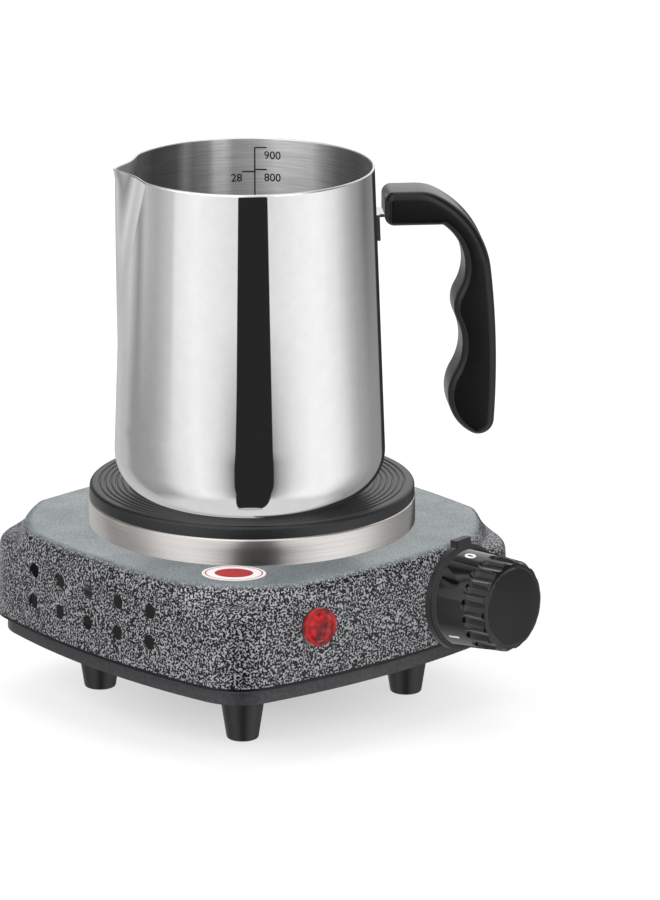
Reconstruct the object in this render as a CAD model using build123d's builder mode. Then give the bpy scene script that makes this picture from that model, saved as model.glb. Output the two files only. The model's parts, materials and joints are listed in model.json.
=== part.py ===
"""Candle wax melter: a small electric hot plate with a pouring pitcher on it.

Frame: the origin is on the floor under the middle of the hot plate, +Z is up, -Y is the
front with the knob and the lamp, and -X is the side with the vents. Millimetres.
"""

import os
from math import asin, cos, radians, sin, tan

from build123d import *

# ---------------------------------------------------------------- driving dimensions

# Heights of the hot plate, from the floor up
foot_clearance = 24.4  # floor to the pan's lower edge
pan_height = 5.5
seam_gap = 1.0  # dark line between the pan and the housing
housing_height = 37.6
deck_step = 6.5  # the corner lobes lie this far under the round deck
ring_height = 10.3
plate_rim_height = 5.1

# Plan of the housing: a square with bowed sides and round corners
half_width = 81.0  # at the bottom edge, middle of a side
side_bow = 8.0  # middle of a side over its corners
corner_radius = 23.0
draft = 2.5  # the sides lean in towards the top, degrees
housing_wall = 0.9
edge_round = 4.5  # top edge of the housing
deck_radius = 84.0
deck_slope_width = 9.0
deck_ledge = 7.75  # deck inside the ring's outer face

# Base pan
pan_inset = 3.3  # pan edge inside the housing's bottom edge
pan_wall = 1.0
pan_slot_length = 26.0
pan_slot_width = 3.0
pan_slot_pitch = 8.0
pan_slot_count = 5
pan_slot_reach = 34.0  # slot groups from the middle

# Feet
foot_spacing = 83.8
foot_top_radius = 10.4
foot_bottom_radius = 6.0
foot_round = 1.0
foot_bore_depth = 8.0

# Small fasteners
screw_radius = 2.0
screw_head_radius = 3.6
screw_head_height = 2.6
head_clearance = 0.3  # radial, round a screw's head
nut_width = 7.0  # across flats
nut_height = 3.2
hole_clearance = 0.2  # radial, round a screw
thread_clearance = 0.02  # radial, between a thread and its hole
screw_tail = 1.2  # thread past its nut
slot_width = 0.8  # of a screw head's cross

# Pan lugs
lug_width = 14.0
lug_leg = 11.0
lug_thickness = 1.2
lug_gap = 1.1  # from the wall to the edge of a lug's foot
lug_length = 16.0
lug_screw_inset = 12.0  # from the housing's bottom edge

# Trim ring and heating plate
plate_radius = 62.3
plate_edge_round = 1.4
plate_web = 6.1
plate_ledge = 4.5  # rests on the ring, outside the skirt
skirt_wall = 4.0
skirt_clearance = 0.6  # radial, skirt to ring
ring_margin = 0.25  # ring past the plate's edge
ring_wall = 0.9
ring_hem = 2.6
skirt_depth = 7.9  # below the flange
boss_radius = 9.0
boss_length = 7.9
groove_count = 17
groove_pitch = 2.2
groove_width = 1.1
groove_depth = 0.55
groove_margin = 3.9  # outer groove to the plate's edge

# Heating stack under the plate
element_margin = 13.0  # element's centre line to the inside of the skirt
element_tube_radius = 3.25
element_gap_angle = 30.0
element_leg_length = 8.0
element_pin_radius = 1.5
element_pin_length = 5.0
seat_depth = 1.2
seat_clearance = 0.15
mica_margin = 1.5  # mica to the inside of the skirt
mica_thickness = 1.5
mica_gap = 0.05
boss_clearance = 0.6
leg_clearance = 0.6
reflector_thickness = 0.6
reflector_lip = 2.6
spacer_radius = 14.0
clamp_lap = 12.0  # bar past the deck's opening
clamp_width = 25.0
clamp_thickness = 3.0
stud_radius = 3.0
stud_grip = 9.0  # thread in the plate's boss
washer_radius = 6.5
washer_thickness = 1.2
clamp_nut_width = 10.0
clamp_nut_height = 5.0

# Knob and thermostat, on the front wall
knob_along = 37.0  # from the middle of the front, towards +X
knob_height = 47.8  # over the floor
knob_radius = 18.7
knob_taper = 1.3  # smaller at the front
knob_depth = 24.7  # back to the top of the domed face
knob_dome = 2.3  # rise of the face over its edge
knob_gap = 0.6  # knob to bezel
knob_edge_round = 2.2
knob_wall = 2.4
knob_face = 2.6
knob_hub_radius = 6.0
flute_count = 18
flute_radius = 3.4
flute_depth = 1.1
flute_length = 13.2  # back from the top of the face
bezel_margin = 1.7  # bezel past the knob
bezel_thickness = 2.2
bezel_backing = 1.2  # material behind the tangent plane, cut to the wall's shape
pointer_width = 8.4
pointer_height = 2.3
bezel_chamfer = 0.4
spindle_radius = 3.0
spindle_flat = 1.0  # depth of the D flat
spindle_reach = 20.0  # outside the wall
spindle_tail = 10.0  # inside the wall
running_clearance = 0.06
fit_clearance = 0.05
hub_back = 7.0  # from the wall to the back of the knob's hub
bush_radius = 5.0
bush_flange_radius = 7.5
bush_flange = 1.6
bush_tail = 4.0  # into the thermostat body
thermostat_nut_width = 13.0
thermostat_nut_height = 2.2
thermostat_width = 30.0
thermostat_tall = 24.0
thermostat_deep = 24.0
thermostat_round = 2.0

# Indicator lamp, on the front wall
lamp_along = -36.5
lamp_height = 51.4
lens_radius = 7.25
lens_skirt = 1.6
lens_bulge = 1.9
lens_wall = 1.2
lamp_barrel_radius = 5.6
lamp_barrel_length = 15.0
lamp_flange = 1.0
lamp_clip_radius = 8.0
lamp_clip_thickness = 0.8
bulb_radius = 2.6
bulb_seat_radius = 3.2
lamp_bore_depth = 8.0
bulb_gap = 0.4

# Vents, on the left and right walls
vent_radius = 3.0
vent_columns = 5
vent_pitch = 17.1
vent_centre = 3.0  # middle of the columns, towards the rear
vent_rows = (43.0, 55.0)  # heights over the floor
hole_reach = 4.0  # wall holes are cut this far either side of the outer face

# Blank oval sticker on the deck
badge_length = 24.0
badge_width = 18.5
badge_thickness = 0.3
badge_reach = 72.0
badge_bearing = -136.7  # degrees from +X

# Wiring space
gland_along = 30.0
gland_height = 45.5
gland_bore_radius = 3.5
gland_barrel_radius = 6.0
gland_flange_radius = 8.5
gland_flange = 3.0
gland_length = 14.0
gland_backing = 0.6
gland_taper = 20.0
gland_nut_width = 17.0
gland_nut_height = 3.0
block_length = 42.0
block_depth = 16.0
block_height = 14.0
block_offset = (-30.0, 56.0)
block_poles = 3
terminal_radius = 2.2
terminal_sink = 5.0
terminal_recess = 1.5
block_round = 2.0
fuse_radius = 2.0
fuse_length = 13.0
fuse_offset = 30.0
clip_thickness = 0.8
clip_gap = 0.05
clip_width = 5.0
clip_span = 12.0
lead_radius = 1.3
lead_grip = 3.0  # a lead's end inside its terminal
terminal_spread = 8.0  # thermostat terminals from the middle of its back
lamp_lead_spread = 2.5
earth_offset = (20.0, 56.0)

# Pitcher, standing a little forward of the plate's middle
pitcher_offset = (-9.9, -10.15)
pitcher_bearing = -37.0  # the handle's direction, degrees from +X
pitcher_tall = 127.0
pitcher_rim_radius = 47.3
pitcher_belly_radius = 52.1
pitcher_base_round = 17.0
pitcher_wall = 0.9
spout_reach = 51.2
spout_drop = 70.0
spout_half_angle = 32.0
spout_tip_round = 3.0

# Handle of the pitcher
handle_width = 20.0
handle_round = 3.0
bracket_width = 14.0
bracket_bottom = 98.6  # over the pitcher's base
bracket_thickness = 1.2
bracket_round = 2.5
tongue_height = 107.4
tongue_width = 11.0
tongue_length = 19.0
handle_screw_reach = 12.0  # from the wall at the tongue
handle_screw_radius = 1.9
handle_screw_head_radius = 3.4
handle_screw_head_height = 1.8
handle_screw_length = 10.5
handle_end = 2.6  # gap between the wall and the handle's end
handle_end_round = 3.5
# Points of the handle's outline: reach from the wall at the tongue, height over the base
handle_top = (15.5, 117.5)
handle_crook = (24.5, 104.5)
handle_back = ((22.4, 115.9), (42.9, 86.9), (44.4, 28.0))  # joints of the arcs down the back
handle_waves = ((35.6, 23.2), (29.1, 47.2), (30.0, 67.5), (30.4, 78.7))  # and up the finger side

# ---------------------------------------------------------------- levels and helpers

pan_top = foot_clearance + pan_height
pan_under = pan_top - pan_wall
shell_bottom = pan_top + seam_gap
deck_top = shell_bottom + housing_height
lobe_top = deck_top - deck_step
ring_top = deck_top + ring_height
plate_top = ring_top + plate_rim_height
deck_under = deck_top - housing_wall
web_under = plate_top - plate_web
boss_bottom = web_under - boss_length

ring_radius = plate_radius + ring_margin
skirt_radius = plate_radius - plate_ledge
skirt_inside = skirt_radius - skirt_wall
ring_flange_radius = skirt_radius + skirt_clearance
deck_opening_radius = ring_radius - deck_ledge
element_radius = skirt_inside - element_margin
mica_radius = skirt_inside - mica_margin
clamp_length = 2 * (deck_opening_radius + clamp_lap)

element_height = web_under + seat_depth - element_tube_radius
mica_under = element_height - element_tube_radius - mica_gap - mica_thickness
reflector_under = mica_under - reflector_thickness
bar_under = deck_under - clamp_thickness

body_front = -housing_wall - bush_flange
knob_front_radius = knob_radius - knob_taper
bezel_radius = knob_radius + bezel_margin
spindle_bore = spindle_radius + running_clearance
nut_front = bezel_thickness + thermostat_nut_height
knob_back = bezel_thickness + knob_gap
knob_front = knob_back + knob_depth
knob_rim = knob_front - knob_dome
lens_shoulder = lamp_flange + lens_skirt
lens_face = lens_shoulder + lens_bulge

side_corner = half_width - side_bow
bow_radius = (side_corner**2 + side_bow**2) / (2 * side_bow)
lean = tan(radians(draft))

lug_screw_reach = half_width - lug_screw_inset
upwards = (Align.CENTER, Align.MIN)  # centred across, and all on one side of its place

os.makedirs("parts", exist_ok=True)


def write(piece, name):
    """Label a finished sub-part and write its STEP file."""
    piece.part.label = name
    export_step(piece.part, f"parts/{name}.step")


def bowed_square(plane, inset):
    """The housing's plan, drawn a distance inside its bottom edge."""
    reach = half_width - inset
    corner = side_corner - inset
    with BuildSketch(plane) as plan:
        with BuildLine():
            for turn in range(4):
                side = Rot(0, 0, 90 * turn)
                ThreePointArc(
                    (side * Pos(-corner, -corner)).position,
                    (side * Pos(0, -reach)).position,
                    (side * Pos(corner, -corner)).position,
                )
        make_face()
        fillet(plan.vertices(), corner_radius - inset)
    return plan.sketch


def rim_edges(form):
    """The edges where the leaning sides meet the top, all round."""
    top_faces = form.faces().filter_by(lambda face: face.normal_at().Z > 0.2)
    side_faces = form.faces().filter_by(lambda face: abs(face.normal_at().Z) < 0.1)
    side_edges = side_faces.edges()
    return ShapeList([edge for edge in top_faces.edges() if edge in side_edges])


def housing_form(inset):
    """The housing as a solid, with its sides and top moved in by the inset."""
    deck = deck_top - inset
    lobe = lobe_top - inset
    slope_start = deck_radius - inset
    slope_middle = slope_start + deck_slope_width / 2
    slope_end = slope_start + deck_slope_width
    far = 2 * half_width
    with BuildPart() as envelope:
        with BuildSketch(Plane.XZ):
            with BuildLine():
                Polyline(
                    (slope_start, deck),
                    (0, deck),
                    (0, shell_bottom),
                    (far, shell_bottom),
                    (far, lobe),
                    (slope_end, lobe),
                )
                halfway = (slope_middle, (deck + lobe) / 2)
                drop = TangentArc((slope_start, deck), halfway, tangent=(1, 0))
                TangentArc(drop @ 1, (slope_end, lobe), tangent=drop % 1)
            make_face()
        revolve(axis=Axis.Z)
    with BuildPart() as form:
        add(bowed_square(Plane.XY.offset(shell_bottom), inset))
        extrude(amount=housing_height, taper=draft)
        add(envelope.part, mode=Mode.INTERSECT)
        fillet(rim_edges(form), edge_round - inset)
    return form.part


def wall_plane(along, height, turn=0):
    """Plane on the outside of a wall, its z axis outwards and its y axis up.

    Turn 0 is the front wall, 90 the right, 180 the rear and -90 the left.
    """
    radius = bow_radius - (height - shell_bottom) * lean
    angle = asin(along / radius)
    plane = Plane(
        origin=(along, bow_radius - half_width - radius * cos(angle), height),
        x_dir=(cos(angle), sin(angle), 0),
        z_dir=(sin(angle), -cos(angle), lean),
    )
    return Plane(Rot(0, 0, turn) * plane.location)


def side_of(plane):
    """The plane that holds another one's x direction and its normal, as its x and y."""
    return Plane(origin=plane.origin, x_dir=plane.x_dir, z_dir=-plane.y_dir)


def round_piece(plane, radius, start, end, bore=0):
    """A plain cylinder or tube on a plane, from one height over it to another."""
    with BuildPart() as piece:
        with BuildSketch(plane.offset(start)):
            Circle(radius)
            if bore:
                Circle(bore, mode=Mode.SUBTRACT)
        extrude(amount=end - start)
    return piece.part


def hexagon_piece(plane, width, start, end, bore):
    """A hexagon nut on a plane, from one height over it to another."""
    with BuildPart() as piece:
        with BuildSketch(plane.offset(start)):
            RegularPolygon(width / 2, 6, major_radius=False)
            Circle(bore, mode=Mode.SUBTRACT)
        extrude(amount=end - start)
        chamfer(piece.edges().group_by(SortBy.LENGTH)[0], 0.3)
    return piece.part


def screw_piece(plane, length):
    """A cross-head screw: its shank rises from the plane and its head is under it."""
    with BuildPart() as screw:
        with BuildSketch(plane):
            Circle(screw_head_radius)
        extrude(amount=-screw_head_height)
        head_end = screw.faces().sort_by(Axis(plane.origin, plane.z_dir))[0]
        fillet(head_end.edges(), screw_head_height / 3)
        with BuildSketch(plane.offset(-screw_head_height)):
            Rectangle(screw_head_radius, slot_width)
            Rectangle(slot_width, screw_head_radius)
        extrude(amount=screw_head_height / 2, mode=Mode.SUBTRACT)
        with BuildSketch(plane):
            Circle(screw_radius)
        extrude(amount=length)
    return screw.part


def stack_sheet(height):
    """A disc of the heating stack, with holes for the plate's boss and the element's legs."""
    with BuildSketch(Plane.XY.offset(height)) as sheet:
        Circle(mica_radius)
        Circle(boss_radius + boss_clearance, mode=Mode.SUBTRACT)
        first_leg = 90 - element_gap_angle / 2
        with PolarLocations(element_radius, 2, first_leg, element_gap_angle, endpoint=True):
            Circle(element_tube_radius + leg_clearance, mode=Mode.SUBTRACT)
    return sheet.sketch


outer_form = housing_form(0)
inner_form = housing_form(housing_wall)
knob_plane = wall_plane(knob_along, knob_height)
lamp_plane = wall_plane(lamp_along, lamp_height)
gland_plane = wall_plane(-gland_along, gland_height, 180)
knob_axis = Axis(knob_plane.origin, knob_plane.z_dir)
lamp_axis = Axis(lamp_plane.origin, lamp_plane.z_dir)

# ---------------------------------------------------------------- housing

with BuildPart() as housing:
    add(outer_form)
    add(inner_form, mode=Mode.SUBTRACT)
    with BuildSketch(Plane.XY.offset(deck_under - edge_round)):
        Circle(deck_opening_radius)
    extrude(amount=2 * edge_round, mode=Mode.SUBTRACT)
    for side in (-1, 1):
        for column in range(vent_columns):
            rearwards = vent_centre + (column - (vent_columns - 1) / 2) * vent_pitch
            for height in vent_rows:
                vent_plane = wall_plane(side * rearwards, height, side * 90)
                with BuildSketch(vent_plane.offset(-hole_reach)):
                    Circle(vent_radius)
                extrude(amount=2 * hole_reach, mode=Mode.SUBTRACT)
    wall_holes = (
        (knob_plane, bush_radius + hole_clearance),
        (lamp_plane, lamp_barrel_radius + hole_clearance),
        (gland_plane, gland_barrel_radius + hole_clearance),
    )
    for plane, radius in wall_holes:
        with BuildSketch(plane.offset(-hole_reach)):
            Circle(radius)
        extrude(amount=2 * hole_reach, mode=Mode.SUBTRACT)
write(housing, "housing")

# ---------------------------------------------------------------- base pan, lugs and feet

with BuildPart() as base_pan:
    add(bowed_square(Plane.XY.offset(foot_clearance), pan_inset))
    extrude(amount=pan_height)
    fillet(base_pan.faces().sort_by(Axis.Z)[-1].edges(), pan_wall)
    add(bowed_square(Plane.XY.offset(foot_clearance), pan_inset + pan_wall))
    extrude(amount=pan_height - pan_wall, mode=Mode.SUBTRACT)
    with BuildSketch(Plane.XY.offset(pan_under)):
        with GridLocations(foot_spacing, foot_spacing, 2, 2):
            Circle(screw_radius + hole_clearance)
        with PolarLocations(lug_screw_reach, 4):
            Circle(screw_radius + hole_clearance)
        with GridLocations(pan_slot_pitch, 2 * pan_slot_reach, pan_slot_count, 2):
            SlotOverall(pan_slot_length, pan_slot_width, rotation=90)
        with Locations(earth_offset):
            Circle(screw_radius + thread_clearance)
    extrude(amount=pan_wall, mode=Mode.SUBTRACT)
write(base_pan, "base_pan")

with BuildPart() as front_lug:
    with BuildSketch(Plane.XY.offset(shell_bottom)):
        with Locations((0, -half_width)):
            Rectangle(lug_width, 2 * lug_leg)
    extrude(amount=lug_leg)
    add(inner_form, mode=Mode.INTERSECT)
    add(housing_form(housing_wall + lug_thickness), mode=Mode.SUBTRACT)
    with BuildSketch(Plane.XY.offset(pan_top)):
        with Locations((0, housing_wall + lug_gap - half_width)):
            Rectangle(lug_width, lug_length, align=upwards)
    extrude(amount=seam_gap + lug_thickness)
    with BuildSketch(Plane.XY.offset(pan_top)):
        with Locations((0, -lug_screw_reach)):
            Circle(screw_radius + thread_clearance)
    extrude(amount=seam_gap + lug_thickness, mode=Mode.SUBTRACT)

for side, turn in (("front", 0), ("right", 90), ("rear", 180), ("left", -90)):
    with BuildPart() as pan_lug:
        add(front_lug.part, rotation=(0, 0, turn))
    write(pan_lug, f"pan_lug_{side}")

pan_screw_length = pan_wall + seam_gap + lug_thickness + screw_tail
pan_screw = screw_piece(Plane.XY.offset(pan_under), pan_screw_length)
with BuildPart() as pan_screws:
    with PolarLocations(lug_screw_reach, 4):
        add(pan_screw)
write(pan_screws, "pan_screws")

with BuildPart() as foot_form:
    with BuildSketch(Plane.XZ):
        with BuildLine():
            Polyline(
                (0, 0),
                (foot_bottom_radius, 0),
                (foot_top_radius, pan_under),
                (0, pan_under),
                close=True,
            )
        make_face()
    revolve(axis=Axis.Z)
    fillet(foot_form.faces().sort_by(Axis.Z)[0].edges(), foot_round)
    with BuildSketch():
        Circle(screw_head_radius + head_clearance)
    extrude(amount=foot_bore_depth, mode=Mode.SUBTRACT)
    with BuildSketch():
        Circle(screw_radius + hole_clearance)
    extrude(amount=pan_under, mode=Mode.SUBTRACT)

for fore, depth in (("front", -1), ("rear", 1)):
    for side, across in (("left", -1), ("right", 1)):
        with BuildPart() as foot:
            with Locations((across * foot_spacing / 2, depth * foot_spacing / 2)):
                add(foot_form.part)
        write(foot, f"foot_{fore}_{side}")

foot_screw_length = pan_top + nut_height + screw_tail - foot_bore_depth
foot_screw = screw_piece(Plane.XY.offset(foot_bore_depth), foot_screw_length)
screw_thread = screw_radius + thread_clearance
foot_nut = hexagon_piece(Plane.XY, nut_width, pan_top, pan_top + nut_height, screw_thread)
with BuildPart() as foot_screws:
    with GridLocations(foot_spacing, foot_spacing, 2, 2):
        add(foot_screw)
write(foot_screws, "foot_screws")

with BuildPart() as foot_nuts:
    with GridLocations(foot_spacing, foot_spacing, 2, 2):
        add(foot_nut)
write(foot_nuts, "foot_nuts")

# ---------------------------------------------------------------- trim ring and plate

with BuildPart() as trim_ring:
    with BuildSketch(Plane.XZ):
        with BuildLine():
            Polyline(
                (ring_radius - ring_hem, deck_top),
                (ring_radius, deck_top),
                (ring_radius, ring_top),
                (ring_flange_radius, ring_top),
                (ring_flange_radius, ring_top - ring_wall),
                (ring_radius - ring_wall, ring_top - ring_wall),
                (ring_radius - ring_wall, deck_top + ring_wall),
                (ring_radius - ring_hem, deck_top + ring_wall),
                close=True,
            )
        make_face()
    revolve(axis=Axis.Z)
    fillet(trim_ring.edges().group_by(SortBy.LENGTH)[-1], ring_wall / 2)
write(trim_ring, "trim_ring")

with BuildPart() as heating_plate:
    with BuildSketch(Plane.XZ):
        with BuildLine():
            Polyline(
                (0, plate_top),
                (plate_radius, plate_top),
                (plate_radius, ring_top),
                (skirt_radius, ring_top),
                (skirt_radius, ring_top - skirt_depth),
                (skirt_inside, ring_top - skirt_depth),
                (skirt_inside, web_under),
                (boss_radius, web_under),
                (boss_radius, boss_bottom),
                (0, boss_bottom),
                close=True,
            )
        make_face()
    revolve(axis=Axis.Z)
    fillet(heating_plate.faces().sort_by(Axis.Z)[-1].edges(), plate_edge_round)
    with BuildSketch(Plane.XZ):
        for groove in range(groove_count):
            groove_radius = plate_radius - groove_margin - groove * groove_pitch
            with Locations((groove_radius, plate_top + groove_width / 2 - groove_depth)):
                Circle(groove_width / 2)
        with Locations((element_radius, element_height)):
            Circle(element_tube_radius + seat_clearance)
    revolve(axis=Axis.Z, mode=Mode.SUBTRACT)
    with BuildSketch(Plane.XY.offset(boss_bottom)):
        Circle(stud_radius + thread_clearance)
    extrude(amount=stud_grip + screw_tail, mode=Mode.SUBTRACT)
write(heating_plate, "heating_plate")

with BuildPart() as deck_badge:
    with BuildSketch(Plane.XY.offset(deck_top)):
        with PolarLocations(badge_reach, 1, badge_bearing):
            Ellipse(badge_width / 2, badge_length / 2)
    extrude(amount=badge_thickness)
write(deck_badge, "deck_badge")

# ---------------------------------------------------------------- heating stack under the plate

leg_angles = (90 - element_gap_angle / 2, 90 + element_gap_angle / 2)

with BuildPart() as heating_element:
    with BuildSketch(Plane.XZ.rotated((0, 0, leg_angles[1]))):
        with Locations((element_radius, element_height)):
            Circle(element_tube_radius)
    revolve(axis=Axis.Z, revolution_arc=360 - element_gap_angle)
    for angle in leg_angles:
        leg_top = Plane.XY * Rot(0, 0, angle) * Pos(element_radius, 0, element_height)
        with Locations(leg_top):
            Sphere(element_tube_radius)
        pin_end = -element_leg_length - element_pin_length
        add(round_piece(Plane(leg_top), element_tube_radius, -element_leg_length, 0))
        add(round_piece(Plane(leg_top), element_pin_radius, pin_end, 0))
write(heating_element, "heating_element")

with BuildPart() as mica_disc:
    add(stack_sheet(mica_under))
    extrude(amount=mica_thickness)
write(mica_disc, "mica_disc")

with BuildPart() as heat_reflector:
    add(stack_sheet(reflector_under))
    extrude(amount=reflector_thickness)
    with BuildSketch(Plane.XY.offset(reflector_under)):
        Circle(mica_radius)
        Circle(mica_radius - reflector_thickness, mode=Mode.SUBTRACT)
    extrude(amount=-reflector_lip)
write(heat_reflector, "heat_reflector")

with BuildPart() as stack_spacer:
    spacer_bore = boss_radius + boss_clearance
    add(round_piece(Plane.XY, spacer_radius, deck_under, reflector_under, spacer_bore))
write(stack_spacer, "stack_spacer")

with BuildPart() as clamp_bar:
    with BuildSketch(Plane.XY.offset(bar_under)):
        RectangleRounded(clamp_length, clamp_width, clamp_thickness)
        Circle(stud_radius + hole_clearance, mode=Mode.SUBTRACT)
    extrude(amount=clamp_thickness)
write(clamp_bar, "clamp_bar")

washer_under = bar_under - washer_thickness
clamp_nut_under = washer_under - clamp_nut_height
with BuildPart() as centre_stud:
    add(round_piece(Plane.XY, stud_radius, clamp_nut_under - screw_tail, boss_bottom + stud_grip))
write(centre_stud, "centre_stud")

with BuildPart() as clamp_washer:
    add(round_piece(Plane.XY, washer_radius, washer_under, bar_under, stud_radius + hole_clearance))
write(clamp_washer, "clamp_washer")

with BuildPart() as clamp_nut:
    stud_thread = stud_radius + thread_clearance
    add(hexagon_piece(Plane.XY, clamp_nut_width, clamp_nut_under, washer_under, stud_thread))
write(clamp_nut, "clamp_nut")

# ---------------------------------------------------------------- knob and thermostat

with BuildPart() as knob_bezel:
    with BuildSketch(knob_plane.offset(-bezel_backing)):
        Circle(bezel_radius)
        with Locations((0, bezel_radius)):
            Rectangle(pointer_width, 2 * pointer_height)
    extrude(amount=bezel_backing + bezel_thickness)
    chamfer(knob_bezel.faces().sort_by(knob_axis)[-1].edges(), bezel_chamfer)
    with BuildSketch(knob_plane.offset(-bezel_backing)):
        Circle(bush_radius + hole_clearance)
    extrude(amount=bezel_backing + bezel_thickness, mode=Mode.SUBTRACT)
    add(outer_form, mode=Mode.SUBTRACT)
write(knob_bezel, "knob_bezel")

bush_rear = body_front - bush_tail
bush_front = nut_front + screw_tail
with BuildPart() as thermostat_bush:
    add(round_piece(knob_plane, bush_flange_radius, body_front, 0))
    add(inner_form, mode=Mode.INTERSECT)
    add(round_piece(knob_plane, bush_radius, bush_rear, bush_front))
    add(round_piece(knob_plane, spindle_bore, bush_rear, bush_front), mode=Mode.SUBTRACT)
write(thermostat_bush, "thermostat_bush")

bush_thread = bush_radius + thread_clearance
with BuildPart() as thermostat_nut:
    add(hexagon_piece(knob_plane, thermostat_nut_width, bezel_thickness, nut_front, bush_thread))
write(thermostat_nut, "thermostat_nut")

with BuildPart() as thermostat_body:
    with BuildSketch(knob_plane.offset(body_front)):
        RectangleRounded(thermostat_width, thermostat_tall, thermostat_round)
    extrude(amount=-thermostat_deep)
    add(round_piece(knob_plane, bush_thread, bush_rear, body_front), mode=Mode.SUBTRACT)
    bore_rear = -spindle_tail - screw_tail
    add(round_piece(knob_plane, spindle_bore, bore_rear, body_front), mode=Mode.SUBTRACT)
write(thermostat_body, "thermostat_body")

with BuildPart() as thermostat_spindle:
    add(round_piece(knob_plane, spindle_radius, -spindle_tail, spindle_reach))
    with BuildSketch(knob_plane.offset(hub_back)):
        with Locations((0, spindle_radius - spindle_flat)):
            Rectangle(2 * spindle_radius, spindle_radius, align=upwards)
    extrude(amount=spindle_reach, mode=Mode.SUBTRACT)
write(thermostat_spindle, "thermostat_spindle")

with BuildPart() as knob:
    with BuildSketch(side_of(knob_plane)):
        with BuildLine():
            Polyline(
                (knob_front_radius, knob_rim),
                (knob_radius, knob_back),
                (knob_radius - knob_wall, knob_back),
                (knob_front_radius - knob_wall, knob_rim - knob_face),
                (knob_hub_radius, knob_rim - knob_face),
                (knob_hub_radius, hub_back),
                (0, hub_back),
                (0, knob_front),
            )
            TangentArc((0, knob_front), (knob_front_radius, knob_rim), tangent=(1, 0))
        make_face()
    revolve(axis=knob_axis)
    dome = knob.faces().sort_by(knob_axis)[-1]
    fillet(dome.edges().sort_by(SortBy.LENGTH)[-1], knob_edge_round)
    flute_reach = knob_front_radius + flute_radius - flute_depth
    with BuildSketch(knob_plane.offset(knob_front)):
        with PolarLocations(flute_reach, flute_count, 180 / flute_count):
            Circle(flute_radius)
    extrude(amount=-flute_length, mode=Mode.SUBTRACT)
    with BuildSketch(knob_plane.offset(hub_back)):
        Circle(spindle_radius + fit_clearance)
        with Locations((0, spindle_radius - spindle_flat + fit_clearance)):
            Rectangle(3 * spindle_radius, spindle_radius, align=upwards, mode=Mode.SUBTRACT)
    extrude(amount=spindle_reach - hub_back + screw_tail, mode=Mode.SUBTRACT)
write(knob, "knob")

# ---------------------------------------------------------------- indicator lamp

with BuildPart() as lamp_body:
    add(round_piece(lamp_plane, lens_radius, -lamp_flange, lamp_flange))
    add(outer_form, mode=Mode.SUBTRACT)
    add(round_piece(lamp_plane, lamp_barrel_radius, -lamp_barrel_length, lamp_flange))
    add(round_piece(lamp_plane, bulb_seat_radius, -lamp_bore_depth, lamp_flange), mode=Mode.SUBTRACT)
write(lamp_body, "lamp_body")

with BuildPart() as lamp_lens:
    with BuildSketch(side_of(lamp_plane)):
        with BuildLine():
            Polyline(
                (0, lens_face),
                (0, lamp_flange),
                (lens_radius, lamp_flange),
                (lens_radius, lens_shoulder),
            )
            TangentArc((0, lens_face), (lens_radius, lens_shoulder), tangent=(1, 0))
        make_face()
    revolve(axis=lamp_axis)
    lens_inside = lens_radius - lens_wall
    add(round_piece(lamp_plane, lens_inside, lamp_flange, lens_shoulder), mode=Mode.SUBTRACT)
write(lamp_lens, "lamp_lens")

with BuildPart() as lamp_bulb:
    add(round_piece(lamp_plane, bulb_radius, -lamp_bore_depth, lens_shoulder - bulb_gap))
    fillet(lamp_bulb.faces().sort_by(lamp_axis)[-1].edges(), bulb_radius / 2)
write(lamp_bulb, "lamp_bulb")

with BuildPart() as lamp_clip:
    add(round_piece(lamp_plane, lamp_clip_radius, -housing_wall - lamp_clip_thickness, 0))
    add(inner_form, mode=Mode.INTERSECT)
    barrel_grip = lamp_barrel_radius + thread_clearance
    add(round_piece(lamp_plane, barrel_grip, -lamp_barrel_length, 0), mode=Mode.SUBTRACT)
write(lamp_clip, "lamp_clip")

# ---------------------------------------------------------------- cord gland

with BuildPart() as cord_gland:
    with BuildSketch(gland_plane.offset(-gland_backing)):
        Circle(gland_flange_radius)
    extrude(amount=gland_backing + gland_flange, taper=gland_taper)
    add(outer_form, mode=Mode.SUBTRACT)
    gland_rear = gland_flange - gland_length
    add(round_piece(gland_plane, gland_barrel_radius, gland_rear, gland_flange))
    add(round_piece(gland_plane, gland_bore_radius, gland_rear, gland_flange), mode=Mode.SUBTRACT)
write(cord_gland, "cord_gland")

with BuildPart() as gland_nut:
    nut_rear = -housing_wall - gland_nut_height
    gland_thread = gland_barrel_radius + thread_clearance
    add(hexagon_piece(gland_plane, gland_nut_width, nut_rear, 0, gland_thread))
    add(inner_form, mode=Mode.INTERSECT)
write(gland_nut, "gland_nut")

# ---------------------------------------------------------------- terminal block, fuse and leads

block_x, block_y = block_offset
pole_height = pan_top + block_height / 2
pole_pitch = block_length / block_poles
pole_places = [block_x + (pole - (block_poles - 1) / 2) * pole_pitch for pole in range(block_poles)]
block_front = block_y - block_depth / 2

with BuildPart() as terminal_block:
    with BuildSketch(Plane.XY.offset(pan_top)):
        with Locations(block_offset):
            RectangleRounded(block_length, block_depth, block_round)
    extrude(amount=block_height)
    for pole_x in pole_places:
        with BuildSketch(Plane.XZ.offset(-block_y - block_depth / 2)):
            with Locations((pole_x, pole_height)):
                Circle(terminal_radius)
        extrude(amount=block_depth, mode=Mode.SUBTRACT)
        with BuildSketch(Plane.XY.offset(pan_top + block_height - terminal_sink)):
            with Locations((pole_x, block_y)):
                Circle(terminal_radius)
        extrude(amount=terminal_sink, mode=Mode.SUBTRACT)
write(terminal_block, "terminal_block")

with BuildPart() as terminal_screws:
    for pole_x in pole_places:
        add(
            round_piece(
                Plane((pole_x, block_y, 0)),
                terminal_radius - thread_clearance,
                pan_top + block_height - terminal_sink,
                pan_top + block_height - terminal_recess,
            )
        )
write(terminal_screws, "terminal_screws")

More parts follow.
